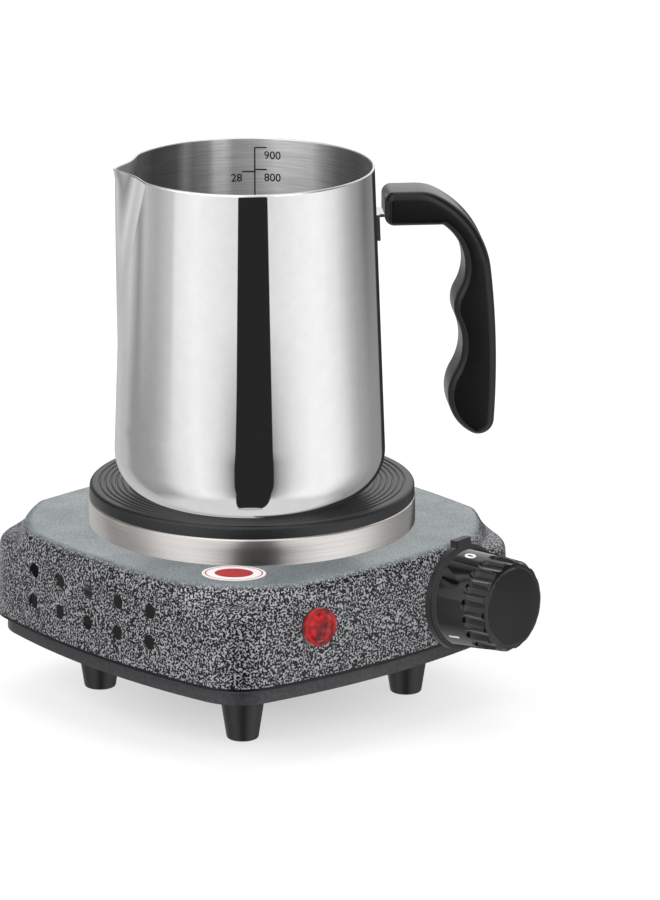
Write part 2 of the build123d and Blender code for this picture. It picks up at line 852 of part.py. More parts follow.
fuse_height = bar_under - fuse_radius - clip_gap
fuse_plane = Plane(origin=(-fuse_offset, 0, fuse_height), x_dir=(0, 1, 0), z_dir=(1, 0, 0))
with BuildPart() as thermal_fuse:
    add(round_piece(fuse_plane, fuse_radius, -fuse_length / 2, fuse_length / 2))
    chamfer(thermal_fuse.edges().filter_by(GeomType.CIRCLE), fuse_radius / 4)
write(thermal_fuse, "thermal_fuse")

clip_inside = fuse_radius + clip_gap
clip_outside = clip_inside + clip_thickness
with BuildPart() as fuse_clip:
    with BuildSketch(fuse_plane.offset(-clip_width / 2)):
        Circle(clip_outside)
        Rectangle(2 * clip_outside, clip_outside, align=upwards)
        with Locations((0, clip_inside - clip_thickness)):
            Rectangle(clip_span, 2 * clip_thickness, align=upwards)
        Circle(clip_inside, mode=Mode.SUBTRACT)
        Rectangle(2 * clip_inside, clip_outside, align=upwards, mode=Mode.SUBTRACT)
        with Locations((0, clip_inside)):
            Rectangle(clip_span, clip_outside, align=upwards, mode=Mode.SUBTRACT)
    extrude(amount=clip_width)
write(fuse_clip, "fuse_clip")


def on_plane(plane, across, up=0):
    """A point on a plane, by its own two directions."""
    return (plane.location * Pos(across, up, 0)).position


thermostat_rear = knob_plane.offset(body_front - thermostat_deep)
lamp_rear = lamp_plane.offset(-lamp_barrel_length)
leg_foot = element_height - element_leg_length - element_pin_length
fuse_end = fuse_offset + fuse_length / 2
fuse_start = fuse_offset - fuse_length / 2
pole_ends = [(pole_x, block_front + lead_grip, pole_height) for pole_x in pole_places]
leg_feet = [(Rot(0, 0, angle) * Pos(element_radius, 0, leg_foot)).position for angle in leg_angles]

# Each lead's way, from its first terminal to its last
lead_routes = {
    "lead_neutral": [
        leg_feet[1],
        leg_feet[1] - (0, 0, 14),
        (pole_places[2], block_front - 13, pole_height),
        pole_ends[2],
    ],
    "lead_element": [
        leg_feet[0],
        leg_feet[0] - (0, 0, 14),
        (22, 8, 38),
        on_plane(thermostat_rear.offset(-12), -terminal_spread),
        on_plane(thermostat_rear, -terminal_spread),
    ],
    "lead_fuse": [
        (-fuse_start, 0, fuse_height),
        (-fuse_start + 9, 0, fuse_height),
        (14, -24, 52),
        on_plane(thermostat_rear.offset(-12), terminal_spread),
        on_plane(thermostat_rear, terminal_spread),
    ],
    "lead_supply": [
        pole_ends[1],
        (pole_places[1], block_front - 12, pole_height),
        (-50, 18, 48),
        (-49, 0, fuse_height),
        (-fuse_end, 0, fuse_height),
    ],
    "lead_lamp_a": [
        on_plane(lamp_rear, -lamp_lead_spread),
        on_plane(lamp_rear.offset(-12), -lamp_lead_spread),
        (-57, -14, 36),
        (-57, 22, 36),
        (pole_places[0], block_front - 12, pole_height),
        pole_ends[0],
    ],
    "lead_lamp_b": [
        on_plane(lamp_rear, lamp_lead_spread),
        on_plane(lamp_rear.offset(-11), lamp_lead_spread),
        (-4, -40, 38),
        on_plane(thermostat_rear.offset(-11), -terminal_spread, -terminal_spread),
        on_plane(thermostat_rear, -terminal_spread, -terminal_spread),
    ],
}

for lead_name, route in lead_routes.items():
    corners = [Vector(point) for point in route]
    runs = [end - start for start, end in zip(corners, corners[1:])]
    radii = [
        0.45 * min(before.length, after.length) / tan(radians(before.get_angle(after)) / 2)
        for before, after in zip(runs, runs[1:])
    ]
    with BuildPart() as lead:
        with BuildLine():
            way = FilletPolyline(*corners, radius=radii)
        with BuildSketch(Plane(origin=corners[0], z_dir=way % 0)):
            Circle(lead_radius)
        sweep()
    write(lead, lead_name)

earth_x, earth_y = earth_offset
with BuildPart() as earth_screw:
    earth_plane = Plane(origin=(earth_x, earth_y, pan_top), z_dir=(0, 0, -1))
    add(screw_piece(earth_plane, pan_wall + screw_tail))
write(earth_screw, "earth_screw")

# ---------------------------------------------------------------- pitcher

pitcher_x, pitcher_y = pitcher_offset
pitcher_frame = Plane((pitcher_x, pitcher_y, plate_top)).rotated((0, 0, pitcher_bearing))
pitcher_side = side_of(pitcher_frame)
pitcher_axis = Axis(pitcher_frame.origin, (0, 0, 1))


def wall_radius(height):
    """Outer radius of the pitcher's straight wall at a height over its base."""
    lean_in = (pitcher_belly_radius - pitcher_rim_radius) / pitcher_tall
    return pitcher_belly_radius - lean_in * height


def pitcher_form(inset):
    """The pitcher's round body as a solid, moved in by the inset."""
    with BuildPart() as form:
        with BuildSketch(pitcher_side):
            with BuildLine():
                Polyline(
                    (0, inset),
                    (pitcher_belly_radius - inset, inset),
                    (pitcher_rim_radius - inset, pitcher_tall),
                    (0, pitcher_tall),
                    close=True,
                )
            make_face()
        revolve(axis=pitcher_axis)
        fillet(form.faces().sort_by(Axis.Z)[0].edges(), pitcher_base_round - inset)
    return form.part


def spout_form(inset):
    """The beak of the spout as a solid wedge, moved in by the inset."""
    spout_bottom = pitcher_tall - spout_drop
    with BuildPart() as beak:
        for height, tip, half_angle, tip_round in (
            (spout_bottom, wall_radius(spout_bottom), spout_half_angle / 8, spout_tip_round / 8),
            (pitcher_tall, spout_reach, spout_half_angle, spout_tip_round),
        ):
            radius = wall_radius(height) - inset
            with BuildSketch(pitcher_frame.offset(height)):
                with BuildLine():
                    Polyline(
                        (0, 0),
                        (-radius * cos(radians(half_angle)), radius * sin(radians(half_angle))),
                        (inset - tip, 0),
                        (-radius * cos(radians(half_angle)), -radius * sin(radians(half_angle))),
                        close=True,
                    )
                section = make_face()
                fillet(section.vertices().sort_by(Axis.X)[0], tip_round)
        loft(ruled=True)
    return beak.part


pitcher_outer = pitcher_form(0)

with BuildPart() as pitcher_body:
    add(pitcher_outer)
    add(spout_form(0))
    add(pitcher_form(pitcher_wall), mode=Mode.SUBTRACT)
    add(spout_form(pitcher_wall), mode=Mode.SUBTRACT)
write(pitcher_body, "pitcher_body")

tongue_start = wall_radius(tongue_height)
tongue_end = Plane(pitcher_frame.location * Pos(tongue_start, 0, 0))
handle_side = side_of(tongue_end)
screw_seat = Plane(tongue_end.location * Pos(handle_screw_reach, 0, handle_crook[1]))

with BuildPart() as handle_screw:
    with BuildSketch(screw_seat):
        Circle(handle_screw_head_radius)
    extrude(amount=handle_screw_head_height)
    with BuildSketch(screw_seat):
        Circle(handle_screw_radius)
    extrude(amount=handle_screw_length)
    with BuildSketch(screw_seat):
        Rectangle(handle_screw_head_radius, slot_width)
        Rectangle(slot_width, handle_screw_head_radius)
    extrude(amount=handle_screw_head_height / 2, mode=Mode.SUBTRACT)
write(handle_screw, "handle_screw")

with BuildPart() as handle_bracket:
    add(pitcher_form(-bracket_thickness))
    with BuildSketch(pitcher_frame.offset(bracket_bottom)):
        with Locations((pitcher_belly_radius, 0)):
            RectangleRounded(pitcher_belly_radius, bracket_width, bracket_round)
    bracket_top = tongue_height + bracket_thickness
    extrude(amount=bracket_top - bracket_bottom, mode=Mode.INTERSECT)
    with BuildSketch(pitcher_frame.offset(tongue_height)):
        with Locations((tongue_start - bracket_thickness, 0)):
            Rectangle(tongue_length, tongue_width, align=(Align.MIN, Align.CENTER))
    extrude(amount=bracket_thickness)
    add(pitcher_outer, mode=Mode.SUBTRACT)
    add(handle_screw.part, mode=Mode.SUBTRACT)
write(handle_bracket, "handle_bracket")

with BuildPart() as handle:
    with BuildSketch(handle_side):
        with BuildLine():
            joint = handle_top
            heading = (1, 0)
            for next_joint in (*handle_back, *handle_waves, handle_crook):
                bend = TangentArc(joint, next_joint, tangent=heading)
                joint = bend @ 1
                heading = bend % 1
            end_foot = (handle_end, handle_crook[1])
            end_head = (handle_end, handle_top[1])
            Polyline(handle_crook, end_foot, end_head, handle_top)
        outline = make_face()
        fillet(outline.vertices().sort_by(Axis.X)[:2], handle_end_round)
    extrude(amount=handle_width / 2, both=True)
    side_faces = handle.faces().filter_by(Axis(handle_side.origin, handle_side.z_dir))
    fillet(side_faces.edges(), handle_round)
    with BuildSketch(screw_seat):
        Circle(handle_screw_head_radius)
    extrude(amount=handle_screw_head_height, mode=Mode.SUBTRACT)
    add(handle_bracket.part, mode=Mode.SUBTRACT)
    add(handle_screw.part, mode=Mode.SUBTRACT)
write(handle, "handle")
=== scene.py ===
"""Looks of the candle wax melter: a hammertone hot plate with a polished pouring pitcher."""

import json
from math import asin, atan2, cos, degrees, hypot, pi, radians, sin, tan

import bpy
from mathutils import Matrix, Vector

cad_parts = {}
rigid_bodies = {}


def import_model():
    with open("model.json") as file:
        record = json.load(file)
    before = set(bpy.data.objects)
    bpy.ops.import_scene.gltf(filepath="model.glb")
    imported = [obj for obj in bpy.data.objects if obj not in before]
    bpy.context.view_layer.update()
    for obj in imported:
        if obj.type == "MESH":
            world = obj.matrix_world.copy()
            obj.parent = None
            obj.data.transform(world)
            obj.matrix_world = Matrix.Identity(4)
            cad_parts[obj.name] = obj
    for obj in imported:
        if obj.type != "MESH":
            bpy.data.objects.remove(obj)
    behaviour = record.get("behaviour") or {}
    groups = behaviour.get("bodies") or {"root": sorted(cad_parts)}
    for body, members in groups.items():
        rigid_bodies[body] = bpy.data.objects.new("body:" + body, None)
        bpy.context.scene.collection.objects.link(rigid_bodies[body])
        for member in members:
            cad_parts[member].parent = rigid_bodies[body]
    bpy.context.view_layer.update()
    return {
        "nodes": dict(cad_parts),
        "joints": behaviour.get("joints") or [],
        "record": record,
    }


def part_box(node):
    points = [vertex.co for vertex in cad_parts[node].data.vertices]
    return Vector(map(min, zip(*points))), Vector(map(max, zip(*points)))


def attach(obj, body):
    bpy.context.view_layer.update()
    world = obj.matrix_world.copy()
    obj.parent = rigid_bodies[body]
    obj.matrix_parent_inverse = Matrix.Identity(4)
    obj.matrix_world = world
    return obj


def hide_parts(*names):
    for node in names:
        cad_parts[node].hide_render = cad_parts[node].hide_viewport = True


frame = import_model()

MM = 0.001

# -------------------- sizes, in millimetres

# Levels of the hot plate, read from its pieces
HOUSING_LOW, HOUSING_HIGH = (corner.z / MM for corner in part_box("housing"))
RING_LOW, RING_HIGH = (corner.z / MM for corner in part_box("trim_ring"))
PLATE_LOW, PLATE_HIGH = (corner.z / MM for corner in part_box("heating_plate"))
FOOT_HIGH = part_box("foot_front_left")[1].z / MM

# Walls of the housing: bowed sides that lean in
HALF_WIDTH = 81.0
BOW_RADIUS = 337.06
DRAFT = 2.5

# Upstand of the pan: a narrow black wall inside the housing, put in as painted shade behind the seam
UPSTAND_WALL = 1.2
UPSTAND_REACH = 65.0  # the pan's edge is further out than this, and its slots nearer
UPSTAND_STEP = 0.3  # over this height it spreads to follow the housing's wall
UPSTAND_SPREAD = 1.022
UPSTAND_RISE = 1.9  # and from there it stands straight
LEVEL = 0.01  # faces this near to a height lie on it

# Trim ring and plate
RING_RADIUS = 62.55
RING_WALL = 0.9
RING_HEM = 2.6
RING_FLANGE_RADIUS = 58.4
PLATE_RADIUS = 62.3
SKIRT_RADIUS = 57.8
SKIRT_INSIDE = 53.8
SKIRT_BOTTOM = 70.9
WEB_UNDER = 77.8
BOSS_RADIUS = 9.0
GROOVE_COUNT = 17
GROOVE_PITCH = 2.2
GROOVE_HALF_WIDTH = 0.55
GROOVE_DEPTH = 0.55
GROOVE_OUTER_RADIUS = 58.4
GROOVE_STEPS = 4
ROUND_COLUMNS = 200  # steps round the ring and the plate

# Feet
FOOT_SPACING = 83.8
FOOT_BOTTOM_RADIUS = 6.0
FOOT_TOP_RADIUS = 10.4
FOOT_BORE_RADIUS = 3.9
FOOT_BORE_DEPTH = 8.0
FOOT_SCREW_RADIUS = 2.2

# Knob, along its own axis from the wall
KNOB_BACK = 2.8
KNOB_FRONT = 27.5
KNOB_DOME = 2.3
KNOB_RADIUS = 18.7
KNOB_FRONT_RADIUS = 17.4
KNOB_WALL = 2.4
KNOB_FACE = 2.6
CAP_RADIUS = 14.6
CAP_SEAM = 0.3  # width and depth of the line round the cap
CAP_STEPS = 8
CAP_SKIN = 0.15  # faces this near to the dome take the cap's finish
HUB_RADIUS = 6.0
HUB_BACK = 7.0
SPINDLE_HOLE = 3.05
SPINDLE_HOLE_END = 21.2
KNOB_COLUMNS = 180
FLUTE_COUNT = 18
FLUTE_RADIUS = 3.4
FLUTE_DISTANCE = 19.7
FLUTE_START = 14.3
FLUTE_PAST = 2.0  # the cutter runs this far out of the face
NUMERAL_SIZE = 6.4
NUMERAL_DISTANCE = 8.6
NUMERAL_TAPER = 0.058  # the drum narrows by this for each millimetre towards its face
NUMERAL_ANGLES = (12, 128, 166, 204, 242, 280)  # 0 is by the pointer when the knob is off
NUMERAL_STROKE = 0.03  # wider strokes, over the numerals' size

# Lamp
LAMP_ALONG = -36.5
LAMP_HEIGHT = 51.4
LENS_RADIUS = 7.25
LENS_BACK = 1.0
LENS_SHOULDER = 2.6
LENS_FACE = 4.5
LENS_WALL = 1.2
LENS_SKIN = 0.6
LENS_RIM = 0.9
LENS_RINGS = 4
LENS_RING_RADIUS = LENS_RADIUS - 1.0
LENS_RING_DEPTH = 0.12

# Badge
BADGE_REACH = 72.0
BADGE_BEARING = -136.7
BADGE_LENGTH = 24.0
BADGE_WIDTH = 18.5
BADGE_THICKNESS = 0.3
BADGE_RINGS = (0.91, 0.95, 0.72, 0.97)  # each ring's edge over the one outside it
BADGE_LINE = (0.865, 0.91)
BADGE_MIDDLE = 0.5  # only the innermost face has its centre within this

# Pitcher, in its own frame: the base's middle is the origin and +X points to the handle
PITCHER_X = -9.9
PITCHER_Y = -10.15
PITCHER_BEARING = -37.0
PITCHER_TALL = 127.0
PITCHER_RIM = 47.3
PITCHER_BELLY = 52.1
PITCHER_BASE_ROUND = 17.0
PITCHER_WALL = 0.9
SPOUT_REACH = 51.2
SPOUT_DROP = 70.0
SPOUT_FADE = 45.0
SPOUT_HALF_ANGLE = 32.0
SPOUT_NARROW_ANGLE = 4.0  # half its angle where the beak starts, low on the wall
SPOUT_SETTLE_ANGLE = 80.0
SPOUT_TIP_SOFT = 0.04
SPOUT_HOLLOW = 1.3  # the lip's sides bend in by this between its tip and its corners
SPOUT_FLARE = 0.8  # the tip turns out by this, over the top millimetres
SPOUT_FLARE_DROP = 4.0
SPOUT_FLARE_ANGLE = 12.0
PITCHER_COLUMNS = 180
PITCHER_ROWS = 34
PITCHER_STRAIGHT = 30.0  # the wall is straight from here
RIM_ROUND = 0.4
RIM_DEPTH = 1.0
RIM_BRIGHT = 0.55  # depth of the rim's own finish
SCALE_BEARING = 83.0  # from the handle, seen from above
SCALE_LINE = 0.55
SCALE_LENGTH = 100.0
SCALE_TOP = 3.8  # under the rim
SCALE_TICKS = ((3.8, 4.6), (12.5, 4.6), (13.4, -5.0))  # under the rim, and how far to the side
SCALE_NUMERALS = (("900", 5.4, 3.0), ("800", 14.2, 3.0), ("28", 14.4, -9.0))
SCALE_NUMERAL_SIZE = 4.4
SCALE_NUMERAL_HALF = (0.29, 0.35)  # half of one numeral's width and height, over its size
SCALE_STROKE = 0.01
INK = 0.05
# Reflection streaks painted up the inside wall, as light and dark bands of what the brushed steel mirrors:
# bearing seen from above, and how bright the steel stays there
PAINTED_REFLECTION_STREAKS = (
    (-180, 0.48), (-60, 0.43), (-30, 0.27), (-12, 0.22), (2, 0.32), (12, 0.63), (18, 0.96), (36, 1.00),
    (44, 0.70), (56, 0.63), (60, 0.96), (65, 0.90), (68, 0.48), (76, 0.40), (80, 0.66), (85, 0.29),
    (100, 0.15), (112, 0.24), (130, 0.43), (180, 0.48),
)

# Hammertone paint
HAMMER_WORM = 0.72  # spacing of its worms
DECK_EDGE = (1.5, 0.2)  # under the housing's top: the deck's painted sheen starts, and is full
DECK_SHEEN_SHARE = 0.7
SEAM_SHADE = (0.9, 1.2)  # over the housing's lower edge: the painted shade of the seam starts to end, and has ended

# -------------------- camera

IMAGE_WIDTH = 660
IMAGE_HEIGHT = 900
PLATE_PIXEL = (252, 480)
FOCAL_PIXELS = 6000
CAMERA_DISTANCE = 2.3
CAMERA_AZIMUTH = radians(-42)
CAMERA_ELEVATION = radians(16)

towards = Vector((
    sin(CAMERA_AZIMUTH) * cos(CAMERA_ELEVATION),
    -cos(CAMERA_AZIMUTH) * cos(CAMERA_ELEVATION),
    sin(CAMERA_ELEVATION),
))
camera_turn = towards.to_track_quat("Z", "Y")
camera_right = camera_turn @ Vector((1, 0, 0))
camera_up = camera_turn @ Vector((0, 1, 0))
pixel = CAMERA_DISTANCE / FOCAL_PIXELS
bpy.ops.object.select_all(action="DESELECT")
bpy.ops.object.camera_add()
camera = bpy.context.object
camera.name = "camera"
camera.rotation_euler = camera_turn.to_euler()
camera.location = (
    Vector((0, 0, PLATE_HIGH * MM))
    + towards * CAMERA_DISTANCE
    + camera_right * (IMAGE_WIDTH / 2 - PLATE_PIXEL[0]) * pixel
    + camera_up * (PLATE_PIXEL[1] - IMAGE_HEIGHT / 2) * pixel
)
camera.data.sensor_width = 36
camera.data.lens = camera.data.sensor_width * FOCAL_PIXELS / IMAGE_HEIGHT
camera.data.clip_end = 20
bpy.context.scene.camera = camera
bpy.context.scene.view_settings.view_transform = "Standard"

# -------------------- making pieces


def only(piece):
    """Select one piece alone."""
    bpy.ops.object.select_all(action="DESELECT")
    piece.select_set(True)
    bpy.context.view_layer.objects.active = piece


def named(name):
    """Name the newest object, with its place and turn taken into its mesh."""
    piece = bpy.context.object
    piece.name = name
    piece.data.name = name
    bpy.ops.object.transform_apply(location=True, rotation=True, scale=True)
    return piece


def rounded(corners, steps=5):
    """An outline through (radius, height, rounding) corners, with each rounding as an arc."""
    outline = []
    last = len(corners) - 1
    for index, (across, up, radius) in enumerate(corners):
        here = Vector((across, up))
        if radius == 0 or index in (0, last):
            outline.append(tuple(here))
            continue
        before = (Vector(corners[index - 1][:2]) - here).normalized()
        after = (Vector(corners[index + 1][:2]) - here).normalized()
        half = before.angle(after) / 2
        centre = here + (before + after).normalized() * radius / sin(half)
        start = here + before * radius / tan(half) - centre
        sweep = start.angle_signed(here + after * radius / tan(half) - centre)
        for step in range(steps + 1):
            turn = -sweep * step / steps
            outline.append((
                centre.x + start.x * cos(turn) - start.y * sin(turn),
                centre.y + start.x * sin(turn) + start.y * cos(turn),
            ))
    return outline


def spun(name, outline, columns):
    """Spin an outline of (radius, height) points, in millimetres, round the Z axis."""
    points = [Vector((across, 0, up)) * MM for across, up in outline]
    bpy.ops.object.select_all(action="DESELECT")
    bpy.ops.mesh.primitive_plane_add(size=MM, location=points[0])
    piece = named(name)
    bpy.ops.object.mode_set(mode="EDIT")
    bpy.ops.mesh.select_all(action="SELECT")
    bpy.ops.mesh.merge(type="CENTER")
    for start, end in zip(points, points[1:]):
        bpy.ops.mesh.extrude_region_move(TRANSFORM_OT_translate={"value": end - start})
    bpy.ops.mesh.select_all(action="SELECT")
    bpy.ops.mesh.spin(steps=columns, angle=2 * pi, center=(0, 0, 0), axis=(0, 0, 1))
    bpy.ops.mesh.select_all(action="SELECT")
    bpy.ops.mesh.remove_doubles(threshold=0.002 * MM)
    bpy.ops.mesh.normals_make_consistent(inside=False)
    bpy.ops.object.mode_set(mode="OBJECT")
    return piece


def placed(piece, place):
    """Move a finished mesh to its place."""
    piece.data.transform(place)
    return piece


def smooth(piece, angle=30):
    """Shade a piece smooth, with its corners kept."""
    only(piece)
    bpy.ops.object.shade_smooth_by_angle(angle=radians(angle))
    return piece


def copied(node, name):
    """A smooth-shaded copy of a CAD node, as one closed mesh that takes a finish."""
    piece = bpy.data.objects.new(name, frame["nodes"][node].data.copy())
    bpy.context.scene.collection.objects.link(piece)
    piece.data.materials.clear()
    only(piece)
    bpy.ops.object.mode_set(mode="EDIT")
    bpy.ops.mesh.select_all(action="SELECT")
    bpy.ops.mesh.remove_doubles(threshold=0.001 * MM)
    bpy.ops.object.mode_set(mode="OBJECT")
    if piece.data.has_custom_normals:
        bpy.ops.mesh.customdata_custom_splitnormals_clear()
    return smooth(piece)


def finish(piece, body, finishes, nodes=()):
    """Give a piece its finishes, the body it rides on and the CAD nodes it stands for."""
    for made in finishes:
        piece.data.materials.append(made)
    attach(piece, body)
    if nodes:
        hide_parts(*nodes)


def wall_place(along, height):
    """Where a thing on the front wall stands: its z axis outwards, its y axis up."""
    radius = BOW_RADIUS - (height - HOUSING_LOW) * tan(radians(DRAFT))
    angle = asin(along / radius)
    out = Vector((sin(angle), -cos(angle), tan(radians(DRAFT)))).normalized()
    right = Vector((cos(angle), sin(angle), 0))
    place = Matrix((right, out.cross(right), out)).transposed().to_4x4()
    place.translation = Vector((along, BOW_RADIUS - HALF_WIDTH - radius * cos(angle), height)) * MM
    return place


# -------------------- finishes


def linear(colour):
    """Linear RGBA of an sRGB hex colour."""
    channels = [int(colour[start:start + 2], 16) / 255 for start in (1, 3, 5)]
    return (*(c / 12.92 if c < 0.04045 else ((c + 0.055) / 1.055) ** 2.4 for c in channels), 1)


def material(name, **settings):
    """A new material with its shader's plain settings."""
    made = bpy.data.materials.new(name)
    made.use_nodes = True
    shader = made.node_tree.nodes["Principled BSDF"]
    for socket, value in settings.items():
        shader.inputs[socket.replace("_", " ")].default_value = value
    return made, made.node_tree, shader


def node(tree, kind, inputs=None, ramp=None, **settings):
    """Add a node with its settings, and with constants or links at its inputs."""
    made = tree.nodes.new("ShaderNode" + kind)
    for key, value in settings.items():
        setattr(made, key, value)
    for socket, value in (inputs or {}).items():
        if isinstance(value, bpy.types.NodeSocket):
            tree.links.new(value, made.inputs[socket])
        else:
            made.inputs[socket].default_value = value
    for index, (position, colour) in enumerate(ramp or ()):
        elements = made.color_ramp.elements
        element = elements[index] if index < 2 else elements.new(position)
        element.position = position
        element.color = linear(colour) if isinstance(colour, str) else (colour, colour, colour, 1)
    return made


def per_mm(size):
    """Texture scale at which one cell of a pattern is that many millimetres."""
    return 1 / (size * MM)


def hammertone_enamel():
    """Stoved hammertone paint on steel: fine silver worms on black, with a paler, smoother grey painted on
    the deck as the sheen of its coat.
    """
    made, tree, shader = material(
        "hammertone_enamel", Metallic=0.3, Roughness=0.4, Specular_IOR_Level=0.3, Coat_Weight=0.2,
        Coat_Roughness=0.08,
    )
    place = node(tree, "TexCoord").outputs["Object"]
    flow = node(tree, "TexNoise", {
        "Vector": place, "Scale": per_mm(HAMMER_WORM), "Detail": 0.0, "Distortion": 0.3
    })
    drift = node(tree, "TexNoise", {"Vector": place, "Scale": per_mm(14), "Detail": 2.0})
    worms = node(tree, "ValToRGB", {"Fac": flow.outputs["Fac"]}, ramp=(
        (0.40, "#070708"), (0.49, "#232325"), (0.55, "#6c6c70"), (0.65, "#9e9ea2"),
    ))
    high = node(tree, "SeparateXYZ", {"Vector": place})
    # Painted sheen: a paler grey over the worms on the deck, for its coat's reflection
    deck = node(tree, "MapRange", {
        "Value": high.outputs["Z"], "From Min": (HOUSING_HIGH - DECK_EDGE[0]) * MM,
        "From Max": (HOUSING_HIGH - DECK_EDGE[1]) * MM, "To Max": DECK_SHEEN_SHARE,
    })
    painted_sheen = node(tree, "ValToRGB", {"Fac": drift.outputs["Fac"]}, ramp=(
        (0.35, "#7c8486"), (0.65, "#8f999b")
    ))
    colour = node(tree, "Mix", {
        0: deck.outputs["Result"], 6: worms.outputs["Color"], 7: painted_sheen.outputs["Color"]
    }, data_type="RGBA")
    # Painted shade: the housing's lowest edge goes black, for the shadow in the seam above the pan
    hem = node(tree, "MapRange", {
        "Value": high.outputs["Z"], "From Min": (HOUSING_LOW + SEAM_SHADE[0]) * MM,
        "From Max": (HOUSING_LOW + SEAM_SHADE[1]) * MM,
    })
    seam_shaded = node(tree, "Mix", {
        0: hem.outputs["Result"], 6: linear("#060607"), 7: colour.outputs[2]
    }, data_type="RGBA")
    tree.links.new(seam_shaded.outputs[2], shader.inputs["Base Color"])
    bump = node(tree, "Bump", {
        "Height": flow.outputs["Fac"], "Strength": 0.25, "Distance": 0.2 * MM
    })
    tree.links.new(bump.outputs["Normal"], shader.inputs["Normal"])
    return made


def satin_pan_paint():
    """Dark grey baked paint on pressed steel, with a fine orange peel."""
    made, tree, shader = material("satin_pan_paint", Metallic=0.2, Roughness=0.42)
    place = node(tree, "TexCoord").outputs["Object"]
    peel = node(tree, "TexNoise", {"Vector": place, "Scale": per_mm(1.6), "Detail": 2.0})
    colour = node(tree, "ValToRGB", {"Fac": peel.outputs["Fac"]}, ramp=(
        (0.35, "#2f3032"), (0.7, "#3d3e40")
    ))
    tree.links.new(colour.outputs["Color"], shader.inputs["Base Color"])
    bump = node(tree, "Bump", {
        "Height": peel.outputs["Fac"], "Strength": 0.25, "Distance": 0.08 * MM
    })
    tree.links.new(bump.outputs["Normal"], shader.inputs["Normal"])
    return made


def speckled(name, dark, light, grain, depth, **settings):
    """A moulded or cast surface: two close shades in a fine grain that is also its relief."""
    made, tree, shader = material(name, **settings)
    place = node(tree, "TexCoord").outputs["Object"]
    grains = node(tree, "TexNoise", {"Vector": place, "Scale": per_mm(grain), "Detail": 3.0})
    colour = node(tree, "ValToRGB", {"Fac": grains.outputs["Fac"]}, ramp=((0.35, dark), (0.68, light)))
    tree.links.new(colour.outputs["Color"], shader.inputs["Base Color"])
    bump = node(tree, "Bump", {
        "Height": grains.outputs["Fac"], "Strength": 0.3, "Distance": depth * MM
    })
    tree.links.new(bump.outputs["Normal"], shader.inputs["Normal"])
    return made


def turned_steel(name, dark, light, centre, pitch, streak, relief, **settings):
    """Stainless steel worked round an axis: fine lines that follow the turning."""
    made, tree, shader = material(name, Metallic=1.0, **settings)
    place = node(tree, "TexCoord").outputs["Object"]
    own = node(tree, "Mapping", {
        "Vector": place, "Location": tuple(-c * MM for c in centre)
    })
    parts = node(tree, "SeparateXYZ", {"Vector": own.outputs["Vector"]})
    bearing = node(tree, "Math", {0: parts.outputs["Y"], 1: parts.outputs["X"]}, operation="ARCTAN2")
    level = node(tree, "CombineXYZ", {"X": parts.outputs["X"], "Y": parts.outputs["Y"]})
    reach = node(tree, "VectorMath", {0: level.outputs["Vector"]}, operation="LENGTH")
    along = node(tree, "Math", {0: bearing.outputs["Value"], 1: streak * MM}, operation="MULTIPLY")
    lines = node(tree, "CombineXYZ", {
        "X": along.outputs["Value"], "Y": reach.outputs["Value"], "Z": parts.outputs["Z"]
    })
    brush = node(tree, "TexNoise", {
        "Vector": lines.outputs["Vector"], "Scale": per_mm(pitch), "Detail": 3.0, "Roughness": 0.6
    })
    colour = node(tree, "ValToRGB", {"Fac": brush.outputs["Fac"]}, ramp=((0.3, dark), (0.7, light)))
    tree.links.new(colour.outputs["Color"], shader.inputs["Base Color"])
    bump = node(tree, "Bump", {
        "Height": brush.outputs["Fac"], "Strength": 0.2, "Distance": relief * MM
    })
    tree.links.new(bump.outputs["Normal"], shader.inputs["Normal"])
    return made


def brushed_inside(name, **settings):
    """Stainless steel brushed round the pitcher inside, with vertical light and dark bands painted up the
    wall as its reflections.
    """
    made = turned_steel(name, "#d6d6d6", "#fafafa", PITCHER_CENTRE, 0.5, 1.5, 0.015, **settings)
    tree = made.node_tree
    shader = tree.nodes["Principled BSDF"]
    brushed = shader.inputs["Base Color"].links[0].from_socket
    bearing = next(part for part in tree.nodes if part.type == "MATH" and part.operation == "ARCTAN2")
    share = node(tree, "MapRange", {"Value": bearing.outputs["Value"], "From Min": -pi, "From Max": pi})
    # Painted reflection: light and dark bands by bearing round the inside wall
    marks = node(tree, "ValToRGB", {"Fac": share.outputs["Result"]}, ramp=[
        ((angle + 180) / 360, shade) for angle, shade in PAINTED_REFLECTION_STREAKS
    ])
    parts = next(part for part in tree.nodes if part.type == "SEPXYZ")
    on_wall = node(tree, "MapRange", {
        "Value": parts.outputs["Z"], "From Min": 2 * MM, "From Max": PITCHER_BASE_ROUND * MM
    })
    painted_streaks = node(tree, "Mix", {
        0: on_wall.outputs["Result"], 6: brushed, 7: marks.outputs["Color"]
    }, data_type="RGBA", blend_type="MULTIPLY")
    tree.links.new(painted_streaks.outputs[2], shader.inputs["Base Color"])
    # Dulled a little, with highlights drawn out across the brushing
    shader.inputs["Metallic"].default_value = 0.72
    shader.inputs["Anisotropic"].default_value = 0.9
    shader.inputs["Anisotropic Rotation"].default_value = 0.25
    round_wall = node(tree, "Tangent", direction_type="RADIAL", axis="Z")
    tree.links.new(round_wall.outputs["Tangent"], shader.inputs["Tangent"])
    return made


PITCHER_CENTRE = (PITCHER_X, PITCHER_Y, PLATE_HIGH)

enamel = hammertone_enamel()
pan_paint = satin_pan_paint()
# EPDM rubber, moulded: matt black with a dusty grain
rubber = speckled("epdm_rubber", "#111112", "#1d1d1e", 0.8, 0.04, Roughness=0.42)
# Cast iron under a heat-proof silicone coat: near black, pale at a glancing look
coated_iron = speckled("coated_cast_iron", "#0d0e0e", "#191b1b", 0.7, 0.05, Roughness=0.38)
